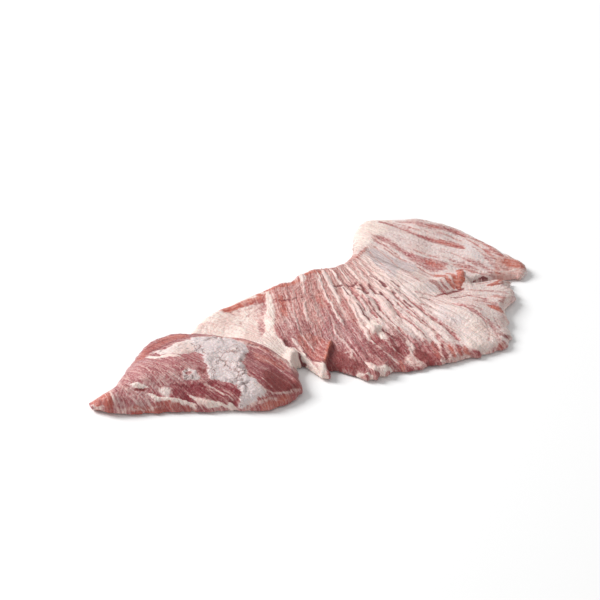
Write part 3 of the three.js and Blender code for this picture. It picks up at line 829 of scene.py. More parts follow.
def line_marks(
    lines: tuple[WideLine, ...],
    tissue: Tissue,
    rise: float,
    cover: float,
    torn: float = 0.9,
    soft: float = 1.1,
) -> tuple[Mark, ...]:
    """Turns lines into marks of one tissue.

    Args:
        lines: Each line's half width and spots.
        tissue: What they are made of.
        rise: How far they stand out of the surface.
        cover: How fully they hide what is below.
        torn: How far their borders wander.
        soft: How wide their borders fade.

    Returns:
        The marks.
    """
    kind = {"torn": torn, "soft": soft, "rise": rise, "cover": cover}
    return tuple(Mark(tissue.name, tissue, spots, half, **kind) for half, *spots in lines)


MARKS = (
    *TIP_LOBE_MARKS,
    *line_marks(LOBE_PALE_LINES, Tissue.ROSY, rise=0.2, cover=0.75, torn=0.4, soft=0.8),
    *line_marks(LOBE_SHADOW_LINES, Tissue.NOTCH_SHADE, rise=-0.35, cover=0.62, torn=0.7, soft=0.8),
    *line_marks(LOBE_HAIR_LINES, Tissue.ROSY, rise=0.2, cover=0.5),
    *FAT_BRIDGE_MARKS,
    *line_marks(BRIDGE_STREAK_LINES, Tissue.LEAN, rise=-0.3, cover=0.6, torn=1.4, soft=1.6),
    *line_marks(BRIDGE_BLUSH_LINES, Tissue.ROSY, rise=-0.2, cover=0.35, torn=1.3, soft=2.0),
    *FAN_GROUND_MARKS,
    *line_marks(FAN_SEAM_LINES, Tissue.SEAM, rise=0.9, cover=0.85),
    *line_marks(FAN_GROOVE_LINES, Tissue.LEAN, rise=-0.8, cover=0.85),
    *line_marks(FAN_HAIR_LINES, Tissue.SEAM, rise=0.6, cover=0.6),
    *FAN_DETAIL_MARKS,
    *line_marks(RIGHT_LEAN_LINES, Tissue.LEAN, rise=-0.2, cover=0.58, torn=1.0, soft=1.8),
    *line_marks(CRINKLE_LINES, Tissue.LEAN, rise=-0.6, cover=0.6, torn=1.6, soft=1.6),
    *line_marks(CRACK_LINES, Tissue.NOTCH_SHADE, rise=-0.9, cover=0.9, torn=0.7),
    *FAR_LOBE_MARKS,
    *line_marks(FAR_STREAK_LINES, Tissue.LEAN, rise=0.0, cover=0.5, torn=1.4, soft=2.6),
    *line_marks(FAR_LOBE_LINES, Tissue.BROWN, rise=-0.3, cover=0.5),
    *FOLD_MARKS,
)


# Each rib runs along the fibres from the root edge to the fringe, in millimetres:
# root x y, middle x y, fringe x y, then the thickness at the root, middle and fringe.
TIP_LOBE = (
    (-191, -9, -192, -14, -192, -18, 4, 5, 4),
    (-174, -8, -176, -20, -176, -31, 8, 11, 5),
    (-159, 5, -160, -18, -159, -39, 8, 15, 4),
    (-141, 21, -138, -18, -136, -49, 8, 18, 5),
    (-126, 31, -114, -21, -106, -64, 8, 20, 6),
    (-108, 34, -90, -27, -79, -79, 9, 20, 7),
    (-100, 30, -72, -24, -54, -77, 9, 18, 8),
    (-93, 25, -60, -13, -43, -59, 9, 14, 9),
)
FAT_BRIDGE = (
    (-90, 30, -59, -11, -40, -53, 5, 9, 6),
    (-72, 43, -50, 2, -38, -48, 6, 8, 7),
    (-45, 49, -41, 3, -36, -45, 7, 8, 7),
    (-17, 54, -31, 0, -32, -45, 7, 9, 7),
)
FAN = (
    (0, 56, -22, -6, -28, -52, 7, 9, 6),
    (11, 55, -13, -14, -18, -60, 7, 9, 6),
    (23, 58, 0, -16, -7, -71, 7, 9, 6),
    (37, 59, 14, -20, 4, -83, 7, 9, 6),
    (53, 55, 45, -27, 43, -91, 7, 9, 5),
    (69, 60, 77, -35, 84, -98, 7, 10, 5),
    (75, 64, 94, -38, 112, -101, 7, 11, 5),
    (79, 68, 105, -36, 125, -91, 7, 11, 6),
    (81, 71, 112, -29, 139, -68, 7, 10, 7),
    (83, 76, 115, -21, 163, -46, 8, 10, 6),
)
FAR_LOBE = (
    (86, 80, 119, -9, 168, -31, 9, 10, 5),
    (91, 88, 128, 11, 178, -29, 12, 10, 5),
    (98, 94, 138, 28, 189, -24, 13, 11, 6),
    (108, 99, 154, 50, 191, -14, 10, 10, 6),
    (121, 98, 168, 66, 185, -1, 6, 7, 6),
)
FIRST_BRIDGE_RIB = len(TIP_LOBE)
FIRST_FAN_RIB = FIRST_BRIDGE_RIB + len(FAT_BRIDGE)
FIRST_FAR_RIB = FIRST_FAN_RIB + len(FAN)


@dataclass
class RibPlan:
    """The cut's plan, laid out by its ribs: s counts ribs along the cut, t goes from root to fringe."""

    ribs: Array = field(default_factory=lambda: np.array(TIP_LOBE + FAT_BRIDGE + FAN + FAR_LOBE, float))
    slivers: Table = (
        (12.25, 0.56, 14.0),
        (6.5, 0.25, 3.0),
        (3.3, 0.5, 1.5),
        (13.5, 0.3, -2.0),
        (14.9, 0.35, 2.5),
        (15.6, 0.12, -2.0),
        (17.2, 0.1, 2.0),
        (19.2, 0.2, 2.0),
        (20.4, 0.25, -3.0),
    )
    sliver_share: float = 0.3
    torn_fringe: float = 2.0
    torn_corner: float = 1.7
    corner_rib: float = 20.8
    corner_ribs: float = 1.6
    torn_root: float = 1.2
    torn_end: float = 1.5
    fringe_tear: float = 4.5
    root_tear: float = 3.5
    root_share: float = 0.05
    end_tears: float = 14.0

    def __post_init__(self) -> None:
        """Works out the slopes between the ribs and how far across the fibres each rib lies."""
        rises = np.diff(self.ribs, axis=0)
        before, after = rises[:-1], rises[1:]
        both = np.where(before * after > 0, before + after, 1.0)
        inner = np.where(before * after > 0, 2 * before * after / both, 0.0)
        self.slopes = np.vstack([rises[:1], inner, rises[-1:]])
        steps = [np.hypot(rises[:, k], rises[:, k + 1]) for k in (2, 4)]
        self.spacing = np.concatenate([[0.0], np.cumsum((steps[0] + steps[1]) / 2)])

    def at(self, s: Array) -> Array:
        """The nine rib values at each rib position.

        Args:
            s: Rib positions.

        Returns:
            One row of nine values for each position.
        """
        i = np.minimum(np.floor(s).astype(int), len(self.ribs) - 2)
        u = (s - i)[..., None]
        v = 1 - u
        here, there = self.ribs[i], self.ribs[i + 1]
        rise = self.slopes[i] * u * v * v - self.slopes[i + 1] * u * u * v
        return here * (1 + 2 * u) * v * v + there * u * u * (3 - 2 * u) + rise

    def across(self, s: Array) -> Array:
        """Millimetres across the fibres from the tip to each rib position."""
        return np.interp(s, np.arange(len(self.ribs)), self.spacing)

    def length(self, s: Array) -> Array:
        """Measures the ribs by way of their middles.

        Args:
            s: Rib positions.

        Returns:
            Lengths in millimetres.
        """
        rib = self.at(s)
        upper = np.hypot(rib[..., 0] - rib[..., 2], rib[..., 1] - rib[..., 3])
        return upper + np.hypot(rib[..., 2] - rib[..., 4], rib[..., 3] - rib[..., 5])

    def place(self, s: Array, t: Array) -> tuple[Array, Array]:
        """The plan place of rib position s and share t, with the torn fringe and the slivers drawn out.

        Args:
            s: Rib positions.
            t: Shares from the root edge to the fringe.

        Returns:
            x and y in millimetres.
        """
        rib = self.at(s)
        x = through(rib[..., 0], rib[..., 2], rib[..., 4], t)
        y = through(rib[..., 1], rib[..., 3], rib[..., 5], t)
        # The parabola's slope where it meets the fringe.
        out_x = 3 * rib[..., 4] - 4 * rib[..., 2] + rib[..., 0]
        out_y = 3 * rib[..., 5] - 4 * rib[..., 3] + rib[..., 1]
        out = np.hypot(out_x, out_y)
        a = self.across(s)
        reach = sum(length * bell(((s - at) / width) ** 2) for at, width, length in self.slivers)
        corner = bell((s - self.corner_rib) / self.corner_ribs)
        tear = self.torn_fringe * (1 + self.torn_corner * corner)
        reach = reach + tear * Grain(Seed.FRINGE).layered(a / self.fringe_tear, 0 * a, layers=3)
        reach = reach * smooth((t - 1 + self.sliver_share) / self.sliver_share)
        root = self.torn_root * Grain(Seed.ROOT).layered(a / self.root_tear, 0 * a)
        root = root * smooth(1 - t / self.root_share)
        end = np.diff(self.ribs[-2:], axis=0)[0]
        end_x, end_y = through(end[0], end[2], end[4], t), through(end[1], end[3], end[5], t)
        far = self.torn_end * Grain(Seed.FAR_END).layered(self.end_tears * t, 0 * t, layers=3)
        far = far * smooth(s - len(self.ribs) + 2)
        far = far / np.hypot(end_x, end_y)
        x = x + out_x / out * (reach + root) + end_x * far
        y = y + out_y / out * (reach + root) + end_y * far
        return x, y


@dataclass
class Surroundings:
    """Where each point of the surface lies: plan, rib position, share, and along and across the fibres."""

    x: Array
    y: Array
    s: Array
    t: Array
    edge: Array
    across: Array
    along: Array
    fibre_tear: Pair = (2.2, 10.0)
    fibre_share: float = 0.65
    blot_tear: float = 2.4
    blot_share: float = 0.45

    def torn(self, seed: int) -> Array:
        """Draws a pattern out along the fibres, for torn and feathered edges.

        Args:
            seed: The pattern's own number.

        Returns:
            Values from about -1 to 1.
        """
        across, along = self.fibre_tear
        fibre = Grain(seed).layered(self.across / across, self.along / along, layers=3)
        blot = Grain(seed + 1).layered(self.x / self.blot_tear, self.y / self.blot_tear, layers=3)
        return self.fibre_share * fibre + self.blot_share * blot


@dataclass
class SurfaceForm:
    """The height of the meat over the table, from the slack muscle's waves down to its fibres."""

    edge_radius: float = 6.0
    rim_height: float = 1.8
    under_radius: float = 4.0
    wave_length: float = 74.0
    wave_ratio: float = 0.74
    wave_height: float = 0.85
    wave_count: int = 5
    golden_angle: float = 2.39996
    lump_flatness: float = 1.5
    lumps: Table = (
        (32, -41, 6.5, 5, -60, 4.5),
        (-38, -41, 8, 5.5, 60, 6),
        (104, 78, 20, 12, 40, 3),
        (112, -62, 22, 16, -30, 2.4),
        (-150, -30, 16, 7, -25, -2),
    )
    curls: Table = (
        (-185, -25, 12, 4),
        (-23, -66, 9, 2),
        (14, -86, 11, 2.5),
        (62, -94, 14, 1.5),
        (150, -60, 14, 3),
        (192, -20, 14, 2.5),
        (-46, -76, 10, 2),
    )
    fold_line: Line = ((80, -5), (134, -16.5))
    fold_half: float = 8.5
    fold_height: float = 6.5
    fold_end: float = 1.6
    ledge_line: Line = ((-3, -39), (-20, -61))
    ledge_reach: float = 13.0
    ledge_height: float = 3.0
    ledge_drop: float = 1.2
    ledge_ends: float = 4.0
    coarse_fibre: Pair = (2.6, 34.0)
    coarse_height: float = 1.3
    fine_fibre: Pair = (1.3, 11.0)
    fine_height: float = 0.7
    fibre_height: float = 0.3
    wrinkle_height: float = 0.55
    wrinkle_size: Pair = (1.8, 3.4)
    pucker_start: float = 11.2
    pucker_start_fade: float = 1.2
    pucker_end: float = 19.0
    pucker_end_fade: float = 4.0
    strand_width: float = 8.2
    strand_sway: float = 0.22
    share_bend: float = 3.1
    width_bend: float = 0.05
    rib_bend: float = 2.3
    strand_variety: float = 0.35
    strand_fade: float = 0.11
    strand_share: float = 0.55
    strand_heights: tuple[float, ...] = (
        *(0, 0.5, 0.5, 0.5, 0.5, 0.4, 0.4, 0.3),
        *(0.2, 0.3, 0.4, 0.5),
        *(0.7, 0.7, 0.8, 1.5, 1.8, 1.8, 1.5, 1.2, 1.1, 1.0),
        *(1.0, 1.1, 1.3, 1.2, 0.6),
    )

    def waves(self, x: Array, y: Array) -> Array:
        """Sums soft waves in directions that never line up.

        Args:
            x: Places along the cut.
            y: Places across it.

        Returns:
            Heights in millimetres.
        """
        height = np.zeros(x.shape)
        for i in range(self.wave_count):
            angle = self.golden_angle * (i + 1)
            shrink = self.wave_ratio**i
            turns = (x * math.cos(angle) + y * math.sin(angle)) / (self.wave_length * shrink)
            height += self.wave_height * shrink * np.sin(2 * math.pi * turns + i * i)
        return height

    def swellings(self, x: Array, y: Array) -> Array:
        """Raises the knobs and cushions and sinks the hollows.

        Args:
            x: Places along the cut.
            y: Places across it.

        Returns:
            Heights in millimetres.
        """
        height = np.zeros(x.shape)
        for at_x, at_y, half_along, half_across, turn, rise in self.lumps:
            angle = math.radians(turn)
            along = (x - at_x) * math.cos(angle) + (y - at_y) * math.sin(angle)
            across = (y - at_y) * math.cos(angle) - (x - at_x) * math.sin(angle)
            away = np.hypot(along / half_along, across / half_across)
            height += rise * bell(away**self.lump_flatness)
        return height

    def curl(self, x: Array, y: Array) -> Array:
        """How far the edge lifts off the table."""
        return sum(lift * bell(np.hypot(x - cx, y - cy) / radius) for cx, cy, radius, lift in self.curls)

    @staticmethod
    def beside(line: Line, x: Array, y: Array) -> tuple[Array, Array, float]:
        """Measures places against a straight line.

        Args:
            line: The line's two ends.
            x: Places along the cut.
            y: Places across it.

        Returns:
            The share along the line, the distance to its left, and its length.
        """
        (ax, ay), (bx, by) = line
        length = math.hypot(bx - ax, by - ay)
        along = ((x - ax) * (bx - ax) + (y - ay) * (by - ay)) / length**2
        left = ((y - ay) * (bx - ax) - (x - ax) * (by - ay)) / length
        return along, left, length

    def fold(self, x: Array, y: Array) -> Array:
        """Raises the roll between the fan and the far lobe, which stops dead at the cleft.

        Args:
            x: Places along the cut.
            y: Places across it.

        Returns:
            Heights in millimetres.
        """
        along, left, length = self.beside(self.fold_line, x, y)
        rise = smooth(along) * smooth((1 - along) * length / self.fold_end + 1)
        return self.fold_height * rise * bell(left / self.fold_half)

    def ledge(self, x: Array, y: Array) -> Array:
        """Raises the flap of surface muscle that ends above the corner of the fan.

        Args:
            x: Places along the cut.
            y: Places across it.

        Returns:
            Heights in millimetres.
        """
        along, left, _ = self.beside(self.ledge_line, x, y)
        ends = smooth(along * self.ledge_ends + 1) * smooth((1 - along) * self.ledge_ends + 1)
        slope = smooth(-left / self.ledge_drop) * (1 - smooth(-left / self.ledge_reach))
        return self.ledge_height * ends * slope

    def fibres(self, across: Array, along: Array) -> Array:
        """Raises fine ridges of muscle fibre.

        Args:
            across: Millimetres across the fibres.
            along: Millimetres along them.

        Returns:
            Heights in millimetres.
        """
        coarse = Grain(Seed.COARSE).layered(across / self.coarse_fibre[0], along / self.coarse_fibre[1])
        fine = Grain(Seed.FINE).soft(across / self.fine_fibre[0], along / self.fine_fibre[1])
        return self.fibre_height * (coarse * self.coarse_height + fine * self.fine_height)

    def puckered(self, s: Array) -> Array:
        """Tells how far each rib position lies in the puckered part of the fan, from 0 to 1."""
        begun = smooth((s - self.pucker_start) / self.pucker_start_fade)
        return begun * smooth((self.pucker_end - s) / self.pucker_end_fade)

    def wrinkles(self, at: Surroundings) -> Array:
        """Raises fine puckers across the fibres of the fan, from -1 to 1."""
        along, across = self.wrinkle_size
        return self.puckered(at.s) * Grain(Seed.WRINKLE).layered(at.along / along, at.across / across)

    def strands(self, plan: RibPlan, s: Array, t: Array, y: Array) -> Array:
        """Rounded strands side by side along the fibres.

        Args:
            plan: The rib plan.
            s: Rib positions.
            t: Shares from root to fringe.
            y: Places across the cut.

        Returns:
            Heights in millimetres, below 0 in the creases.
        """
        bends = np.sin(self.share_bend * t + s) + np.sin(self.width_bend * y + self.rib_bend * s)
        place = plan.across(s) / self.strand_width + self.strand_sway * bends
        strand = np.floor(place)
        size = 1 + self.strand_variety * np.sin(strand * self.golden_angle)
        fade = smooth(t / self.strand_fade) * smooth((1 - t) / self.strand_fade)
        heights = np.interp(s, np.arange(len(self.strand_heights)), self.strand_heights)
        return self.strand_share * heights * size * fade * (dome(2 * (place - strand) - 1) - 0.5)

    def body(self, plan: RibPlan, at: Surroundings) -> Array:
        """The whole height away from the edges.

        Args:
            plan: The rib plan.
            at: Where the points lie.

        Returns:
            Heights in millimetres.
        """
        rib = plan.at(at.s)
        height = through(rib[..., 6], rib[..., 7], rib[..., 8], at.t)
        height = height + self.waves(at.x, at.y) + self.strands(plan, at.s, at.t, at.y)
        return height + self.swellings(at.x, at.y) + self.fold(at.x, at.y) + self.ledge(at.x, at.y)

    def round_edge(self, distance: Array, radius: float) -> Array:
        """A quarter circle: 0 at the outline, 1 from the given distance inwards."""
        inside = 1 - np.minimum(distance / radius, 1)
        return np.sqrt(1 - inside * inside)


@dataclass
class Marbling:
    """Where fat, film and lean lie on the surface, and how far each stands out of it."""

    view: PictureView
    surface: BVHTree
    bridge_border: Line = (
        *((0.0, 11.0), (0.1, 11.3), (0.28, 11.4), (0.43, 11.05), (0.56, 10.6)),
        *((0.66, 10.6), (0.78, 11.1), (0.86, 12.0), (1.0, 12.4)),
    )
    fatty_border: Line = (
        *((0.0, 18.5), (0.18, 17.0), (0.3, 15.8), (0.45, 15.6)),
        *((0.6, 15.9), (0.75, 16.25), (0.88, 16.9), (1.0, 18.2)),
    )
    lobe_border: float = 7.97
    lobe_softness: float = 0.06
    bridge_softness: float = 0.25
    fatty_softness: float = 0.9
    far_border: float = 21.8
    far_softness: float = 0.8
    finger_reach: float = 0.55
    finger_size: Pair = (3.2, 40.0)
    low_start: float = 0.5
    low_fade: float = 0.25
    root_share: float = 0.3
    torn_fat: float = 0.3
    far_torn_fat: float = 0.2
    far_root_fat: float = 0.2
    low_fat_loss: float = 0.12
    torn_deep: float = 0.15
    low_deep: float = 0.4
    lobe_root_deep: float = 0.3
    low_warm_loss: float = 0.2
    sway: float = 1.3
    sway_size: float = 5.0
    calm_sway: float = 0.4
    swayed_ribs: Pair = (13.0, 18.5)
    swayed_fades: Pair = (2.0, 3.0)
    edge_patterns: int = 3
    pinch: float = 0.45
    pinch_length: float = 17.0
    stretch: float = 1.25
    bend: float = 0.45
    bend_size: float = 7.0
    fine_lumps: Pair = (0.35, 0.45)
    lump_size: float = 5.2
    lump_height: float = 1.3
    torn_size: Pair = (9.0, 10.0)
    torn_level: float = 0.3
    torn_gain: float = 2.2
    pit_gap: float = 0.17
    pit_fade: float = 0.12
    dome_reach: float = 0.5
    whole_dome: float = 0.35
    dome_share: float = 0.5
    swell_share: float = 0.9
    fine_share: float = 0.35
    pit_share: float = 0.6

    @staticmethod
    def past(line: Line, at: Surroundings, soft: float, fingers: Array | float = 0.0) -> Array:
        """Tells how far past a border across the ribs each point is.

        Args:
            line: The border, as shares t with their rib positions.
            at: The points.
            soft: The border's softness in ribs.
            fingers: How far the border reaches forward at each point, in ribs.

        Returns:
            0 before the border, 1 past it.
        """
        shares, ribs = np.array(line).T
        return smooth((at.s + fingers - np.interp(at.t, shares, ribs)) / soft + 0.5)

    def ground(self, at: Surroundings) -> Array:
        """Lays the tissues that the marks are drawn on.

        Args:
            at: The points.

        Returns:
            One row of shares for each channel.
        """
        torn = at.torn(Seed.GROUND)
        beyond_lobe = smooth((at.s - self.lobe_border) / self.lobe_softness)
        beyond_bridge = self.past(self.bridge_border, at, self.bridge_softness)
        across, along = self.finger_size
        fingers = self.finger_reach * Grain(Seed.FINGERS).layered(at.across / across, at.along / along)
        fatty = self.past(self.fatty_border, at, self.fatty_softness, fingers)
        beyond_fan = smooth((at.s - self.far_border) / self.far_softness)
        low = smooth((at.t - self.low_start) / self.low_fade)
        root = smooth(1 - at.t / self.root_share)
        weights = (
            1 - beyond_lobe,
            beyond_lobe * (1 - beyond_bridge),
            beyond_bridge * (1 - fatty),
            fatty * (1 - beyond_fan),
            beyond_fan,
        )
        fat, grey, deep, warm, shade = np.array([zone.value for zone in Zone]).T @ np.array(weights)
        lobe, _, fan, fatty_fan, far = weights
        fat += torn * (self.torn_fat * fatty_fan + self.far_torn_fat * far)
        fat += self.far_root_fat * root * far - self.low_fat_loss * low * fan
        deep += self.torn_deep * torn + self.low_deep * low * fan + self.lobe_root_deep * root * lobe
        warm -= self.low_warm_loss * low * beyond_bridge
        return np.clip(np.array([fat, grey, deep, warm, shade]), 0, 1)

    def lay(self, at: Surroundings) -> tuple[Array, Array]:
        """Draws every mark over the ground, in order.

        Args:
            at: The points.

        Returns:
            The channels, and the height that the marks add, in millimetres.
        """
        channels = self.ground(at)
        relief = np.zeros(at.x.shape)
        tears = [at.torn(Seed.MARK_EDGE + turn) for turn in range(self.edge_patterns)]
        swayed = smooth((at.s - self.swayed_ribs[0]) / self.swayed_fades[0])
        swayed = swayed * smooth((self.swayed_ribs[1] - at.s) / self.swayed_fades[1])
        sway = self.sway * (self.calm_sway + (1 - self.calm_sway) * swayed)
        spread = (at.x / self.sway_size, at.y / self.sway_size)
        x = at.x + sway * Grain(Seed.SWAY_X).layered(*spread)
        y = at.y + sway * Grain(Seed.SWAY_Y).layered(*spread)
        for number, mark in enumerate(MARKS):
            LOG.debug("mark %d: %s", number, mark.name)
            places = np.array([self.view.land(self.surface, spot) for spot in mark.spots])
            reach = mark.half + mark.torn + mark.soft + 1
            low, high = places.min(0) - reach, places.max(0) + reach
            near = (at.x > low[0]) & (at.x < high[0]) & (at.y > low[1]) & (at.y < high[1])
            depth, swell = mark.measure(places, x[near], y[near])
            waist = Grain(Seed.WAIST + number).layered(at.along[near] / self.pinch_length, 0 * depth)
            pinch = self.pinch * mark.half * waist
            wander = mark.torn * tears[number % len(tears)][near] + pinch
            within = smooth((depth + wander) / mark.soft + 0.5)
            share = within * mark.cover
            for row, value in enumerate(mark.tissue.value):
                channels[row][near] += (value - channels[row][near]) * share
            relief[near] += mark.rise * swell * np.where(mark.half > 0, within, 1)
        return channels, relief

    def lumps(self, at: Surroundings) -> tuple[Array, Array]:
        """Packs domes side by side, as in torn connective film.

        Args:
            at: The points.

        Returns:
            The domes' height, about 1 on top of each, and the depth of the pits between some, 0 to 1.
        """
        x, y = at.x / self.bend_size, at.y / self.bend_size
        bends = (Grain(seed).layered(x, y) for seed in (Seed.BEND_X, Seed.BEND_Y))
        bend_x, bend_y = (self.bend * bend for bend in bends)
        size = self.lump_size
        tall = self.stretch * size
        nearest, second = Grain(Seed.LUMP).cells(at.x / size + bend_x, at.y / tall + bend_y)
        wide, long = self.fine_lumps
        fine, _ = Grain(Seed.FINE_LUMP).cells(at.x / (wide * size), at.y / (long * size))
        across, along = self.torn_size
        torn = Grain(Seed.TORN_FILM).soft(at.x / across, at.y / along)
        torn = smooth(self.torn_level + self.torn_gain * torn)
        gap = second - nearest
        pits = smooth((self.pit_gap - gap) / self.pit_fade) * torn
        domes = smooth(gap / self.dome_reach) * (self.whole_dome + (1 - self.whole_dome) * torn)
        swell = self.swell_share * Grain(Seed.SWELL).layered(x, y, layers=3)
        height = self.dome_share * domes + swell + self.fine_share * (0.5 - fine)
        return height - self.pit_share * pits, pits


class Tone(Enum):
    """The meat's colours, and those of its painted shade, as linear red, green and blue."""

    LEAN = (0.50, 0.19, 0.195)
    WINE = (0.25, 0.032, 0.042)
    PALE = (0.72, 0.46, 0.43)
    CUT = (0.60, 0.15, 0.085)
    CREAM = (0.88, 0.74, 0.67)
    ROSY = (0.74, 0.48, 0.43)
    FILM = (0.74, 0.63, 0.62)
    # The colour that painted shade darkens towards.
    PAINTED_SHADE = (0.14, 0.035, 0.035)
    # The colour of painted shade in the film's cracks.
    CREASE = (0.36, 0.17, 0.15)


class Pattern(Enum):
    """The patterns that colour and gloss follow, and last the shares that hold some of them back."""

    STREAK = auto()
    FINE = auto()
    WEAVE = auto()
    CLOUD = auto()
    SPECK = auto()
    # Light specks: pale flecks of the tissue and painted glints of its wet gloss.
    FLECK_AND_GLINT = auto()
    HAIR = auto()
    THREAD = auto()
    LIGHT = auto()
    DARK = auto()
    CREAMY = auto()


Patterns = dict[Enum, Socket]
PatternTable = tuple[tuple[Pattern | float, ...], ...]


@dataclass(frozen=True)
class Veil:
    """A tone that comes up to its strength where a pattern passes softly from start to end."""

    pattern: Pattern
    start: float
    end: float
    strength: float
    tone: Tone
    within: Pattern


@dataclass
class NodeBench:
    """Places the nodes of one material and joins them."""

    tree: bpy.types.NodeTree
    grain: bpy.types.NodeTree

    def new(self, kind: str) -> bpy.types.Node:
        """Places a node of the given kind."""
        return self.tree.nodes.new(kind)

    def join(self, start: Socket, end: Socket) -> None:
        """Joins an output to an input."""
        self.tree.links.new(start, end)

    def attribute(self, name: str) -> Socket:
        """Reads one of the piece's own attributes.

        Args:
            name: The attribute's name.

        Returns:
            Its value.
        """
        node = self.new("ShaderNodeAttribute")
        node.attribute_name = name
        return node.outputs["Fac"]

    def fibre(self, across: float, along: float, detail: float) -> Socket:
        """Places the fibre grain.

        Args:
            across: Its scale across the fibres, to a millimetre.
            along: Its scale along them.
            detail: How many finer layers it has.

        Returns:
            Its value, around a half.
        """
        node = self.new("ShaderNodeGroup")
        node.node_tree = self.grain
        node.inputs["Across"].default_value = across
        node.inputs["Along"].default_value = along
        node.inputs["Detail"].default_value = detail
        return node.outputs["Value"]

    def blot(self, scale: float, detail: float) -> Socket:
        """Places plain noise.

        Args:
            scale: Its scale, to a metre.
            detail: How many finer layers it has.

        Returns:
            Its value, around a half.
        """
        where = self.new("ShaderNodeTexCoord")
        node = self.new("ShaderNodeTexNoise")
        node.inputs["Scale"].default_value = scale
        node.inputs["Detail"].default_value = detail
        self.join(where.outputs["Object"], node.inputs["Vector"])
        return node.outputs["Fac"]

    def maths(self, operation: str, *values: Socket | float) -> Socket:
        """Works out one sum.

        Args:
            operation: The sum's kind.
            values: Outputs or numbers, in order.

        Returns:
            The answer.
        """
        node = self.new("ShaderNodeMath")
        node.operation = operation
        for place, value in enumerate(values):
            if isinstance(value, (int, float)):
                node.inputs[place].default_value = value
            else:
                self.join(value, node.inputs[place])
        return node.outputs["Value"]

    def step(self, value: Socket, start: float, end: float, top: float = 1.0) -> Socket:
        """Goes softly from 0 at start to top at end, which may be the lower of the two.

        Args:
            value: What is measured.
            start: Where the answer leaves 0.
            end: Where it reaches the top.
            top: Its highest value.

        Returns:
            The answer.
        """
        node = self.new("ShaderNodeMapRange")
        node.interpolation_type = "SMOOTHSTEP"
        node.inputs["From Min"].default_value = min(start, end)
        node.inputs["From Max"].default_value = max(start, end)
        node.inputs["To Min"].default_value = 0.0 if start < end else top
        node.inputs["To Max"].default_value = top if start < end else 0.0
        self.join(value, node.inputs["Value"])
        return node.outputs["Result"]

    def blend(self, share: Socket, first: Socket | Tone, second: Socket | Tone) -> Socket:
        """Mixes two colours.

        Args:
            share: The second colour's share.
            first: A colour.
            second: The other colour.

        Returns:
            The mixture.
        """
        node = self.new("ShaderNodeMix")
        node.data_type = "RGBA"
        factor, *_, one, other = [socket for socket in node.inputs if socket.enabled]
        self.join(share, factor)
        for socket, colour in ((one, first), (other, second)):
            if isinstance(colour, Tone):
                socket.default_value = (*colour.value, 1.0)
            else:
                self.join(colour, socket)
        return next(socket for socket in node.outputs if socket.enabled)

    def creases(
        self,
        size: float,
        wander: float = 2.6,
        bends: float = 0.8,
        detail: float = 4.0,
        half: float = 0.09,
        core: float = 0.01,
    ) -> Socket:
        """Draws narrow, wandering creases between rounded cells.

        Args:
            size: A cell's size in metres.
            wander: How many cells' sizes they wander.
            bends: How many bends they make in a cell's size.
            detail: How many finer layers the bends have.
            half: Half a crease's width, in cells' sizes.
            core: Half the width of its full depth.

        Returns:
            1 in a crease and 0 between them.
        """
        where = self.new("ShaderNodeTexCoord")
        sway = self.new("ShaderNodeTexNoise")
        sway.inputs["Scale"].default_value = bends / size
        sway.inputs["Detail"].default_value = detail
        shift = self.new("ShaderNodeVectorMath")
        shift.operation = "MULTIPLY_ADD"
        shift.inputs[1].default_value = (wander * size, wander * size, 0.0)
        cells = self.new("ShaderNodeTexVoronoi")
        cells.feature = "DISTANCE_TO_EDGE"
        cells.inputs["Scale"].default_value = 1 / size
        self.join(where.outputs["Object"], sway.inputs["Vector"])
        self.join(sway.outputs["Color"], shift.inputs[0])
        self.join(where.outputs["Object"], shift.inputs[2])
        self.join(shift.outputs["Vector"], cells.inputs["Vector"])
        return self.step(cells.outputs["Distance"], half, core)


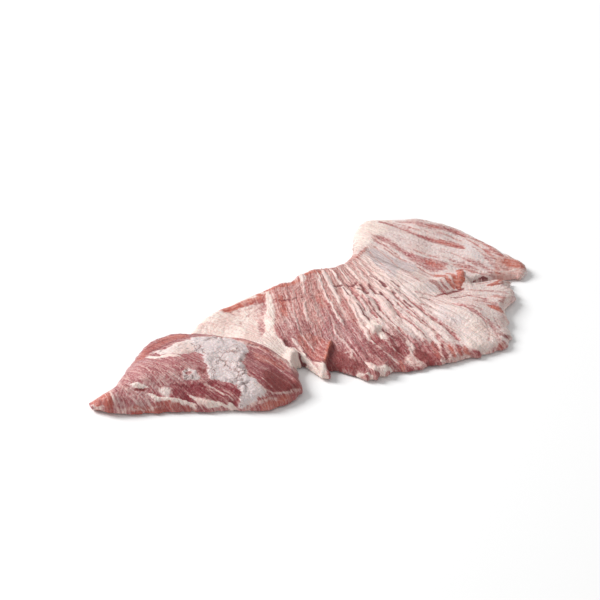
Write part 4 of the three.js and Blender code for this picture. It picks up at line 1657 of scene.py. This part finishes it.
@dataclass(frozen=True)
class MeatFinish:
    """The meat's gloss, the veils of colour that lie over its lean and its fat, and its painted shade."""

    roughness: float = 0.26
    fat_roughness: float = 0.1
    speck_roughness: float = 0.18
    coat: float = 0.15
    coat_roughness: float = 0.25
    refraction: float = 1.4
    sheen_level: float = 0.35
    scatter: float = 0.08
    scatter_reach: tuple[float, float, float] = (1.0, 0.35, 0.22)
    scatter_depth: float = 0.002
    crease_size: float = 0.0075
    crease_depth: float = -0.6
    # How far painted shade darkens the film's cracks.
    crease_shade: float = 0.75
    shade_tone: float = 0.8
    bump_strength: float = 0.8
    bump_depth: float = 0.0016
    bumps: PatternTable = ((Pattern.FINE, 0.7), (Pattern.WEAVE, 0.6), (Pattern.SPECK, 0.5))
    frays: PatternTable = ((Pattern.FINE, 0.6), (Pattern.WEAVE, 0.6), (Pattern.STREAK, 0.7))
    fat_start: float = 0.08
    fat_end: float = 0.85
    film_start: float = 0.7
    film_end: float = 0.95
    crack_start: float = 0.45
    crack_end: float = 0.6
    deep_dims: float = 0.8
    warm_dims: float = 0.3
    grey_dims: float = 0.75
    least_dark: float = 0.45
    line_detail: float = 2.0
    fibre_patterns: PatternTable = (
        (Pattern.STREAK, 0.42, 0.03, 4.0),
        (Pattern.FINE, 0.95, 0.12, 3.0),
        (Pattern.WEAVE, 0.55, 0.45, 4.0),
    )
    blot_patterns: PatternTable = (
        (Pattern.CLOUD, 50.0, 3.0),
        (Pattern.SPECK, 420.0, 3.0),
        (Pattern.FLECK_AND_GLINT, 640.0, 1.0),
    )
    line_patterns: PatternTable = (
        (Pattern.HAIR, 0.15, 0.012, 0.5),
        (Pattern.THREAD, 0.19, 0.016, 0.52),
    )
    lean_veils: tuple[Veil, ...] = (
        Veil(Pattern.CLOUD, 0.5, 0.3, 0.5, Tone.WINE, Pattern.DARK),
        Veil(Pattern.STREAK, 0.48, 0.34, 0.5, Tone.WINE, Pattern.DARK),
        Veil(Pattern.WEAVE, 0.47, 0.36, 0.4, Tone.WINE, Pattern.DARK),
        Veil(Pattern.STREAK, 0.52, 0.66, 0.5, Tone.PALE, Pattern.LIGHT),
        Veil(Pattern.FINE, 0.47, 0.35, 0.5, Tone.WINE, Pattern.DARK),
        Veil(Pattern.FINE, 0.52, 0.66, 0.55, Tone.PALE, Pattern.LIGHT),
        Veil(Pattern.WEAVE, 0.53, 0.66, 0.5, Tone.PALE, Pattern.LIGHT),
        Veil(Pattern.HAIR, 0.02, 0.004, 0.7, Tone.ROSY, Pattern.LIGHT),
        # Rosy flecks: pale specks of the tissue and painted glints of wet gloss.
        Veil(Pattern.FLECK_AND_GLINT, 0.57, 0.67, 0.55, Tone.ROSY, Pattern.LIGHT),
    )
    fat_veils: tuple[Veil, ...] = (
        Veil(Pattern.CLOUD, 0.5, 0.68, 0.5, Tone.ROSY, Pattern.CREAMY),
        Veil(Pattern.FINE, 0.5, 0.66, 0.45, Tone.ROSY, Pattern.CREAMY),
        Veil(Pattern.WEAVE, 0.47, 0.34, 0.5, Tone.PALE, Pattern.CREAMY),
        Veil(Pattern.THREAD, 0.02, 0.004, 0.6, Tone.PALE, Pattern.CREAMY),
    )

    @staticmethod
    def grain_group() -> bpy.types.NodeTree:
        """Makes the fibre grain: noise drawn out along the muscle fibres.

        Returns:
            A node group with the grain's scales in and its value out.
        """
        group = bpy.data.node_groups.new("Fibre grain", "ShaderNodeTree")
        for name, value in (("Across", 1.0), ("Along", 0.1), ("Detail", 2.0)):
            socket = group.interface.new_socket(name, in_out="INPUT", socket_type="NodeSocketFloat")
            socket.default_value = value
        group.interface.new_socket("Value", in_out="OUTPUT", socket_type="NodeSocketFloat")
        nodes, links = group.nodes, group.links
        given, put = nodes.new("NodeGroupInput"), nodes.new("NodeGroupOutput")
        layout = nodes.new("ShaderNodeUVMap")
        layout.uv_map = "fibre"
        scales = nodes.new("ShaderNodeCombineXYZ")
        stretch = nodes.new("ShaderNodeVectorMath")
        stretch.operation = "MULTIPLY"
        noise = nodes.new("ShaderNodeTexNoise")
        noise.inputs["Scale"].default_value = 1.0
        links.new(given.outputs["Across"], scales.inputs["X"])
        links.new(given.outputs["Along"], scales.inputs["Y"])
        links.new(layout.outputs["UV"], stretch.inputs[0])
        links.new(scales.outputs["Vector"], stretch.inputs[1])
        links.new(stretch.outputs["Vector"], noise.inputs["Vector"])
        links.new(given.outputs["Detail"], noise.inputs["Detail"])
        links.new(noise.outputs["Fac"], put.inputs["Value"])
        return group

    def patterns(self, bench: NodeBench) -> Patterns:
        """Places the patterns and the piece's own tissue shares.

        Args:
            bench: Where the nodes go.

        Returns:
            Each pattern and share by its name.
        """
        found = {channel: bench.attribute(channel.value) for channel in Channel}
        for name, across, along, detail in self.fibre_patterns:
            found[name] = bench.fibre(across, along, detail)
        for name, scale, detail in self.blot_patterns:
            found[name] = bench.blot(scale, detail)
        for name, across, along, middle in self.line_patterns:
            off_middle = bench.maths("SUBTRACT", bench.fibre(across, along, self.line_detail), middle)
            found[name] = bench.maths("ABSOLUTE", off_middle)
        dimmed = bench.maths("MULTIPLY", found[Channel.DEEP], self.deep_dims)
        warmed = bench.maths("MULTIPLY", found[Channel.WARM], self.warm_dims)
        greyed = bench.maths("MULTIPLY", found[Channel.GREY], self.grey_dims)
        darkened = bench.maths("MULTIPLY", found[Channel.DEEP], 1 - self.least_dark)
        found[Pattern.LIGHT] = bench.maths("SUBTRACT", bench.maths("SUBTRACT", 1.0, dimmed), warmed)
        found[Pattern.DARK] = bench.maths("ADD", self.least_dark, darkened)
        found[Pattern.CREAMY] = bench.maths("SUBTRACT", 1.0, greyed)
        return found

    @staticmethod
    def veiled(bench: NodeBench, patterns: Patterns, colour: Socket, veils: tuple[Veil, ...]) -> Socket:
        """Lays veils over a colour, one after another.

        Args:
            bench: Where the nodes go.
            patterns: Each pattern by its name.
            colour: The colour below.
            veils: The veils, lowest first.

        Returns:
            The veiled colour.
        """
        for veil in veils:
            share = bench.step(patterns[veil.pattern], veil.start, veil.end, veil.strength)
            colour = bench.blend(bench.maths("MULTIPLY", share, patterns[veil.within]), colour, veil.tone)
        return colour

    def fat_mask(self, bench: NodeBench, patterns: Patterns) -> Socket:
        """Frays the border between fat and lean along the fibres.

        Args:
            bench: Where the nodes go.
            patterns: Each pattern by its name.

        Returns:
            1 on fat and 0 on lean.
        """
        ragged = patterns[Channel.FAT]
        for name, reach in self.frays:
            wander = bench.maths("MULTIPLY", bench.maths("SUBTRACT", patterns[name], 0.5), reach)
            ragged = bench.maths("ADD", ragged, wander)
        return bench.step(ragged, self.fat_start, self.fat_end)

    def build(self) -> bpy.types.Material:
        """Makes the meat's material.

        Returns:
            The material, which reads the piece's own attributes and fibre layout.
        """
        material = bpy.data.materials.new("Raw meat")
        material.use_nodes = True
        material.node_tree.nodes.clear()
        bench = NodeBench(material.node_tree, self.grain_group())
        patterns = self.patterns(bench)
        mask = self.fat_mask(bench, patterns)
        lean = bench.blend(patterns[Channel.DEEP], Tone.LEAN, Tone.WINE)
        lean = bench.blend(patterns[Channel.WARM], lean, Tone.CUT)
        lean = self.veiled(bench, patterns, lean, self.lean_veils)
        fatty = bench.blend(patterns[Channel.GREY], Tone.CREAM, Tone.FILM)
        fatty = bench.blend(patterns[Channel.WARM], fatty, Tone.ROSY)
        fatty = self.veiled(bench, patterns, fatty, self.fat_veils)
        film = bench.maths("MULTIPLY", patterns[Channel.GREY], mask)
        film = bench.step(film, self.film_start, self.film_end)
        cracked = bench.step(patterns[Pattern.CLOUD], self.crack_start, self.crack_end)
        cracked = bench.maths("MULTIPLY", cracked, film)
        crease = bench.maths("MULTIPLY", bench.creases(self.crease_size), cracked)
        colour = bench.blend(mask, lean, fatty)
        # Painted shade in the film's cracks.
        colour = bench.blend(bench.maths("MULTIPLY", crease, self.crease_shade), colour, Tone.CREASE)
        # Painted shade wherever the shade share is set: pits, hollows, wrinkle valleys, notches and shadows.
        shade = bench.maths("MULTIPLY", patterns[Channel.SHADE], self.shade_tone)
        colour = bench.blend(shade, colour, Tone.PAINTED_SHADE)
        gloss = bench.maths("ADD", bench.maths("MULTIPLY", mask, self.fat_roughness), self.roughness)
        speckle = bench.maths("MULTIPLY", patterns[Pattern.SPECK], self.speck_roughness)
        gloss = bench.maths("ADD", gloss, speckle)
        height = bench.maths("MULTIPLY", crease, self.crease_depth)
        for name, share in self.bumps:
            height = bench.maths("ADD", height, bench.maths("MULTIPLY", patterns[name], share))

        bump = bench.new("ShaderNodeBump")
        bump.inputs["Strength"].default_value = self.bump_strength
        bump.inputs["Distance"].default_value = self.bump_depth
        bench.join(height, bump.inputs["Height"])
        skin = bench.new("ShaderNodeBsdfPrincipled")
        skin.inputs["Subsurface Weight"].default_value = self.scatter
        skin.inputs["Subsurface Radius"].default_value = self.scatter_reach
        skin.inputs["Subsurface Scale"].default_value = self.scatter_depth
        skin.inputs["Coat Weight"].default_value = self.coat
        skin.inputs["Coat Roughness"].default_value = self.coat_roughness
        skin.inputs["IOR"].default_value = self.refraction
        skin.inputs["Specular IOR Level"].default_value = self.sheen_level
        bench.join(colour, skin.inputs["Base Color"])
        bench.join(gloss, skin.inputs["Roughness"])
        bench.join(bump.outputs["Normal"], skin.inputs["Normal"])
        output = bench.new("ShaderNodeOutputMaterial")
        bench.join(skin.outputs["BSDF"], output.inputs["Surface"])
        return material


@dataclass
class SecretoMeat:
    """The dressed cut: one closed mesh with fine relief, marbling and a fibre layout."""

    view: PictureView
    surface: BVHTree
    plan: RibPlan = field(default_factory=RibPlan)
    form: SurfaceForm = field(default_factory=SurfaceForm)
    finish: MeatFinish = field(default_factory=MeatFinish)
    tip_column: float = 1.1
    bridge_column: float = 1.0
    fan_column: float = 0.75
    far_column: float = 0.95
    rows: int = 140
    edge_reach: float = 0.3
    rim_step: float = 0.3
    edge_steps: tuple[float, ...] = (0.35, 0.8, 1.4, 2.1, 3.0, 4.0)
    base_margin: float = 4.0
    cleft: Line = (
        *((134, -19.5), (147, -19), (160, -20.5), (176, -27), (190, -46)),
        *((170, -43), (160, -35.5), (172, -31.5), (158, -24), (146, -21.5)),
    )
    lobe_fibre_turn: float = 0.25
    turn_ribs: Pair = (0.8, 4.6)
    turn_fades: Pair = (1.2, 2.0)
    crimp: float = 0.8
    crimp_size: Pair = (2.4, 6.0)
    relief_margin: float = 2.5
    fat_calm: float = 0.5
    pit_shade: float = 0.75
    hollow_shade: float = 0.25
    hollow_start: float = 0.1
    hollow_fade: float = 0.6
    film_start: float = 0.3
    film_fade: float = 0.4
    wrinkle_shade: float = 0.3
    wrinkle_start: float = 0.2

    def columns(self) -> Array:
        """Spaces the grid's columns, closer together where the fan is striped.

        Returns:
            Rising rib positions from the tip to the far lobe.
        """
        positions = [0.0]
        for rib in range(1, len(self.plan.ribs)):
            column = self.far_column
            if rib < FIRST_FAR_RIB:
                column = self.fan_column
            if rib < FIRST_FAN_RIB:
                column = self.bridge_column
            if rib < FIRST_BRIDGE_RIB:
                column = self.tip_column
            gap = self.plan.spacing[rib] - self.plan.spacing[rib - 1]
            steps = max(math.ceil(gap / column), 2)
            positions += [rib - 1 + (k + 1) / steps for k in range(steps)]
        return np.array(positions)

    def shares(self, lengths: Array) -> Array:
        """Spaces the grid's rows, closer together at both rounded edges.

        Args:
            lengths: Each column's rib length in millimetres.

        Returns:
            One row of shares, from root to fringe, for each column.
        """
        inner = self.rows - 2 * len(self.edge_steps)
        rows = []
        for length in lengths:
            scale = min(1.0, self.edge_reach * length / self.edge_steps[-1])
            near = np.array([0.0, *self.edge_steps]) * scale / length
            middle = np.linspace(near[-1], 1 - near[-1], inner + 1)
            rows.append(np.concatenate([near[:-1], middle, 1 - near[:-1][::-1]]))
        return np.array(rows)

    def cleft_sides(self) -> list[tuple[Vector, Vector]]:
        """The cleft's sides, each as its two ends."""
        corners = [Vector((*corner, 0.0)) for corner in self.cleft]
        return list(zip(corners, corners[1:] + corners[:1]))

    def in_cleft(self, spot: Vector) -> bool:
        """Tells whether a place of the plan lies in the cleft.

        Args:
            spot: The place in millimetres.

        Returns:
            True inside the cleft.
        """
        inside = False
        for a, b in self.cleft_sides():
            if (a.y > spot.y) != (b.y > spot.y):
                inside ^= spot.x < a.x + (b.x - a.x) * (spot.y - a.y) / (b.y - a.y)
        return inside

    def snap(self, spot: Vector) -> Vector:
        """Finds the nearest place on the cleft's sides.

        Args:
            spot: A place of the plan in millimetres.

        Returns:
            The place on the side.
        """
        found = []
        for a, b in self.cleft_sides():
            u = min(max((spot - a).dot(b - a) / (b - a).length_squared, 0.0), 1.0)
            found.append(a + (b - a) * u)
        return min(found, key=lambda place: (place - spot).length)

    def lay_grid(self, bm: MeshSketch) -> None:
        """Lays a flat grid over the plan, one column to a rib position, and opens the cleft in it.

        Args:
            bm: The mesh that takes the grid, in millimetres.
        """
        stations = self.columns()
        shares = self.shares(self.plan.length(stations))
        x, y = self.plan.place(stations[:, None] + 0 * shares, shares)
        last = len(stations) - 1
        bmesh.ops.create_grid(bm, x_segments=last, y_segments=self.rows, size=1)
        position, share = bm.verts.layers.float["s"], bm.verts.layers.float["t"]
        outer = set()
        for vert in bm.verts:
            i = round((vert.co.x + 1) / 2 * last)
            j = round((vert.co.y + 1) / 2 * self.rows)
            vert[position], vert[share] = stations[i], shares[i, j]
            vert.co = (x[i, j], y[i, j], 0)
            if i in (0, last) or j in (0, self.rows):
                outer.add(vert)
        low = min(corner[0] for corner in self.cleft)
        middles = [(f, f.calc_center_median()) for f in bm.faces]
        gone = [f for f, middle in middles if middle.x > low and self.in_cleft(middle)]
        bmesh.ops.delete(bm, geom=gone, context="FACES")
        for vert in bm.verts:
            if vert.is_boundary and vert not in outer:
                vert.co = self.snap(vert.co)

    def measure_edge(self, bm: MeshSketch) -> None:
        """Stores each point's distance to the outline and the cleft.

        Args:
            bm: The flat grid in millimetres.
        """
        edge = bm.verts.layers.float["edge"]
        rim = []
        for side in (e for e in bm.edges if e.is_boundary):
            a, b = (v.co for v in side.verts)
            pieces = max(math.ceil((b - a).length / self.rim_step), 1)
            rim += [a.lerp(b, k / pieces) for k in range(pieces)]
        finder = KDTree(len(rim))
        for number, place in enumerate(rim):
            finder.insert(place, number)
        finder.balance()
        for vert in bm.verts:
            vert[edge] = 0.0 if vert.is_boundary else finder.find(vert.co)[2]

    def close_underside(self, bm: MeshSketch) -> None:
        """Doubles the grid's margin as the rounded underside and fills the flat base inside it.

        Args:
            bm: The flat grid in millimetres.
        """
        edge, under = bm.verts.layers.float["edge"], bm.verts.layers.float["under"]
        margin = [f for f in bm.faces if min(v[edge] for v in f.verts) < self.base_margin]
        made = bmesh.ops.duplicate(bm, geom=margin)
        lower = [item for item in made["geom"] if isinstance(item, bmesh.types.BMFace)]
        bmesh.ops.reverse_faces(bm, faces=lower)
        for vert in {v for f in lower for v in f.verts}:
            vert[under] = 1.0
        pairs = {}
        for first, second in made["vert_map"].items():
            if first[under] and not second[under] and first[edge] == 0:
                pairs[first] = second
        bmesh.ops.weld_verts(bm, targetmap=pairs)
        inner = [e for e in bm.edges if e.is_boundary]
        bmesh.ops.triangle_fill(bm, edges=inner, use_beauty=True, use_dissolve=False, normal=(0, 0, -1))

    def surroundings(self, bm: MeshSketch) -> Surroundings:
        """Reads where each point lies.

        Args:
            bm: The grid in millimetres.

        Returns:
            The points' places in the plan and along the fibres.
        """
        position, share, rim = (bm.verts.layers.float[name] for name in ("s", "t", "edge"))
        flat = np.array([(v.co.x, v.co.y, v[position], v[share], v[rim]) for v in bm.verts])
        x, y, s, t, edge = flat.T
        along = t * self.plan.length(s)
        lobe = smooth((s - self.turn_ribs[0]) / self.turn_fades[0])
        lobe = lobe * (1 - smooth((s - self.turn_ribs[1]) / self.turn_fades[1]))
        across = self.plan.across(s) - self.lobe_fibre_turn * along * lobe
        kinks = Grain(Seed.CRIMP).layered(along / self.crimp_size[0], across / self.crimp_size[1])
        crimp = self.crimp * self.form.puckered(s) * kinks
        return Surroundings(x, y, s, t, edge, across + crimp, along)

    def raise_surface(self, bm: MeshSketch, at: Surroundings, relief: Array) -> None:
        """Lifts every point to its height and turns millimetres into metres.

        Args:
            bm: The closed flat mesh.
            at: Where its points lie.
            relief: How far the surface's details stand out of its body.
        """
        layer = bm.verts.layers.float["under"]
        under = np.array([v[layer] for v in bm.verts])
        curl = self.form.curl(at.x, at.y)
        rim = self.form.rim_height + curl
        body = self.form.body(self.plan, at) + curl
        top = rim + (body - rim) * self.form.round_edge(at.edge, self.form.edge_radius)
        top = top + relief * smooth(at.edge / self.relief_margin)
        bottom = rim * (1 - self.form.round_edge(at.edge, self.form.under_radius))
        height = np.where(under > 0, bottom, top)
        for vert, z in zip(bm.verts, height):
            vert.co.z = z
        bmesh.ops.scale(bm, vec=(MM, MM, MM), verts=bm.verts)
        bmesh.ops.recalc_face_normals(bm, faces=bm.faces)

    def tissues(self, at: Surroundings) -> tuple[Array, Array]:
        """Lays the tissues, paints shade into the film's pits and hollows and the fan's wrinkle valleys, and
        works out how far each detail stands out.

        Args:
            at: Where the points lie.

        Returns:
            The tissue shares, one row for each channel, and the relief in millimetres.
        """
        marbling = Marbling(self.view, self.surface)
        channels, relief = marbling.lay(at)
        fat, grey, _, _, shade = channels
        lumps, pits = marbling.lumps(at)
        wrinkles = self.form.wrinkles(at)
        film = fat * grey * (at.s < FIRST_BRIDGE_RIB)
        relief = relief + self.form.fibres(at.across, at.along) * (1 - self.fat_calm * fat)
        relief = relief + self.form.wrinkle_height * wrinkles + marbling.lump_height * lumps * film
        # Painted shade in the film's low places and its pits.
        low = self.hollow_shade * smooth((-self.hollow_start - lumps) / self.hollow_fade)
        within = smooth((film - self.film_start) / self.film_fade)
        painted_hollow_shade = np.maximum(self.pit_shade * pits, low) * within
        # Painted shade in the valleys of the fan's wrinkles.
        wrinkle_valley_shade = self.wrinkle_shade * smooth(-wrinkles - self.wrinkle_start)
        channels[list(Channel).index(Channel.SHADE)] = np.maximum(shade, painted_hollow_shade) + wrinkle_valley_shade * (1 - shade)
        return channels, relief

    def dress(self, mesh: bpy.types.Mesh, at: Surroundings, channels: Array) -> None:
        """Gives the mesh its tissue shares, fibre layout and finish.

        Args:
            mesh: The finished mesh.
            at: Where its points lie.
            channels: The tissue shares.
        """
        for name in ("s", "t", "edge", "under"):
            mesh.attributes.remove(mesh.attributes[name])
        for channel, values in zip(Channel, channels):
            stored = mesh.attributes.new(channel.value, "FLOAT", "POINT")
            stored.data.foreach_set("value", values.astype(np.float32))
        corners = np.empty(len(mesh.loops), np.int32)
        mesh.loops.foreach_get("vertex_index", corners)
        layout = np.column_stack([at.across, at.along])[corners]
        mesh.uv_layers.new(name="fibre").data.foreach_set("uv", layout.astype(np.float32).ravel())
        mesh.polygons.foreach_set("use_smooth", np.ones(len(mesh.polygons), bool))
        mesh.materials.append(self.finish.build())

    def build(self) -> bpy.types.Object:
        """Models and dresses the cut.

        Returns:
            The piece that stands for the solid.
        """
        bm = bmesh.new()
        for name in ("s", "t", "edge", "under"):
            bm.verts.layers.float.new(name)
        self.lay_grid(bm)
        self.measure_edge(bm)
        self.close_underside(bm)
        at = self.surroundings(bm)
        channels, relief = self.tissues(at)
        self.raise_surface(bm, at, relief)
        mesh = bpy.data.meshes.new("secreto_meat")
        bm.to_mesh(mesh)
        bm.free()
        self.dress(mesh, at, channels)
        meat = bpy.data.objects.new("secreto_meat", mesh)
        bpy.context.scene.collection.objects.link(meat)
        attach(meat, "root")
        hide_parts(NODE)
        return meat


@dataclass
class StudioTable:
    """The plain pale floor that the cut lies on."""

    half_size: float = 3.0
    drop: float = 0.0003
    colour: tuple[float, float, float] = (0.97, 0.97, 0.97)
    roughness: float = 0.9
    sheen_level: float = 0.1

    def build(self) -> bpy.types.Object:
        """Makes the floor.

        Returns:
            The floor.
        """
        bm = bmesh.new()
        bmesh.ops.create_grid(bm, x_segments=1, y_segments=1, size=self.half_size)
        bmesh.ops.translate(bm, verts=bm.verts, vec=(0, 0, -self.drop))
        mesh = bpy.data.meshes.new("studio_table")
        bm.to_mesh(mesh)
        bm.free()
        material = bpy.data.materials.new("Pale table")
        material.use_nodes = True
        surface = material.node_tree.nodes["Principled BSDF"]
        surface.inputs["Base Color"].default_value = (*self.colour, 1)
        surface.inputs["Roughness"].default_value = self.roughness
        surface.inputs["Specular IOR Level"].default_value = self.sheen_level
        mesh.materials.append(material)
        table = bpy.data.objects.new("studio_table", mesh)
        bpy.context.scene.collection.objects.link(table)
        return table


@dataclass
class StudioLight:
    """A white surround and one large soft lamp behind and to the left of the camera's view."""

    surround: float = 0.49
    lamp_energy: float = 112.0
    lamp_size: float = 1.4
    lamp_place: tuple[float, float, float] = (-1.6, 2.0, 1.9)

    def build(self) -> bpy.types.Object:
        """Makes the light.

        Returns:
            The lamp.
        """
        scene = bpy.context.scene
        world = bpy.data.worlds.new("White surround")
        world.use_nodes = True
        world.node_tree.nodes["Background"].inputs["Strength"].default_value = self.surround
        world.node_tree.nodes["Background"].inputs["Color"].default_value = (1, 1, 1, 1)
        scene.world = world
        data = bpy.data.lights.new("Soft lamp", "AREA")
        data.shape = "SQUARE"
        data.size = self.lamp_size
        data.energy = self.lamp_energy
        lamp = bpy.data.objects.new("Soft lamp", data)
        lamp.location = self.lamp_place
        lamp.rotation_euler = (-Vector(self.lamp_place)).to_track_quat("-Z", "Y").to_euler()
        scene.collection.objects.link(lamp)
        scene.view_settings.view_transform = "Standard"
        return lamp


def solid_tree() -> BVHTree:
    """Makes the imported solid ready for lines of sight.

    Returns:
        The solid's faces, in metres.
    """
    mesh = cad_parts[NODE].data
    return BVHTree.FromPolygons([v.co for v in mesh.vertices], [tuple(p.vertices) for p in mesh.polygons])


def main() -> None:
    """Builds the cut, the table, the light and the camera."""
    logging.basicConfig(level=logging.INFO, format="%(message)s")
    view = PictureView()
    meat = SecretoMeat(view, solid_tree()).build()
    LOG.info("%s: %d faces", meat.name, len(meat.data.polygons))
    LOG.info("%s: floor", StudioTable().build().name)
    LOG.info("%s: light", StudioLight().build().name)
    bpy.context.scene.camera = view.build()


if __name__ == "__main__":
    main()
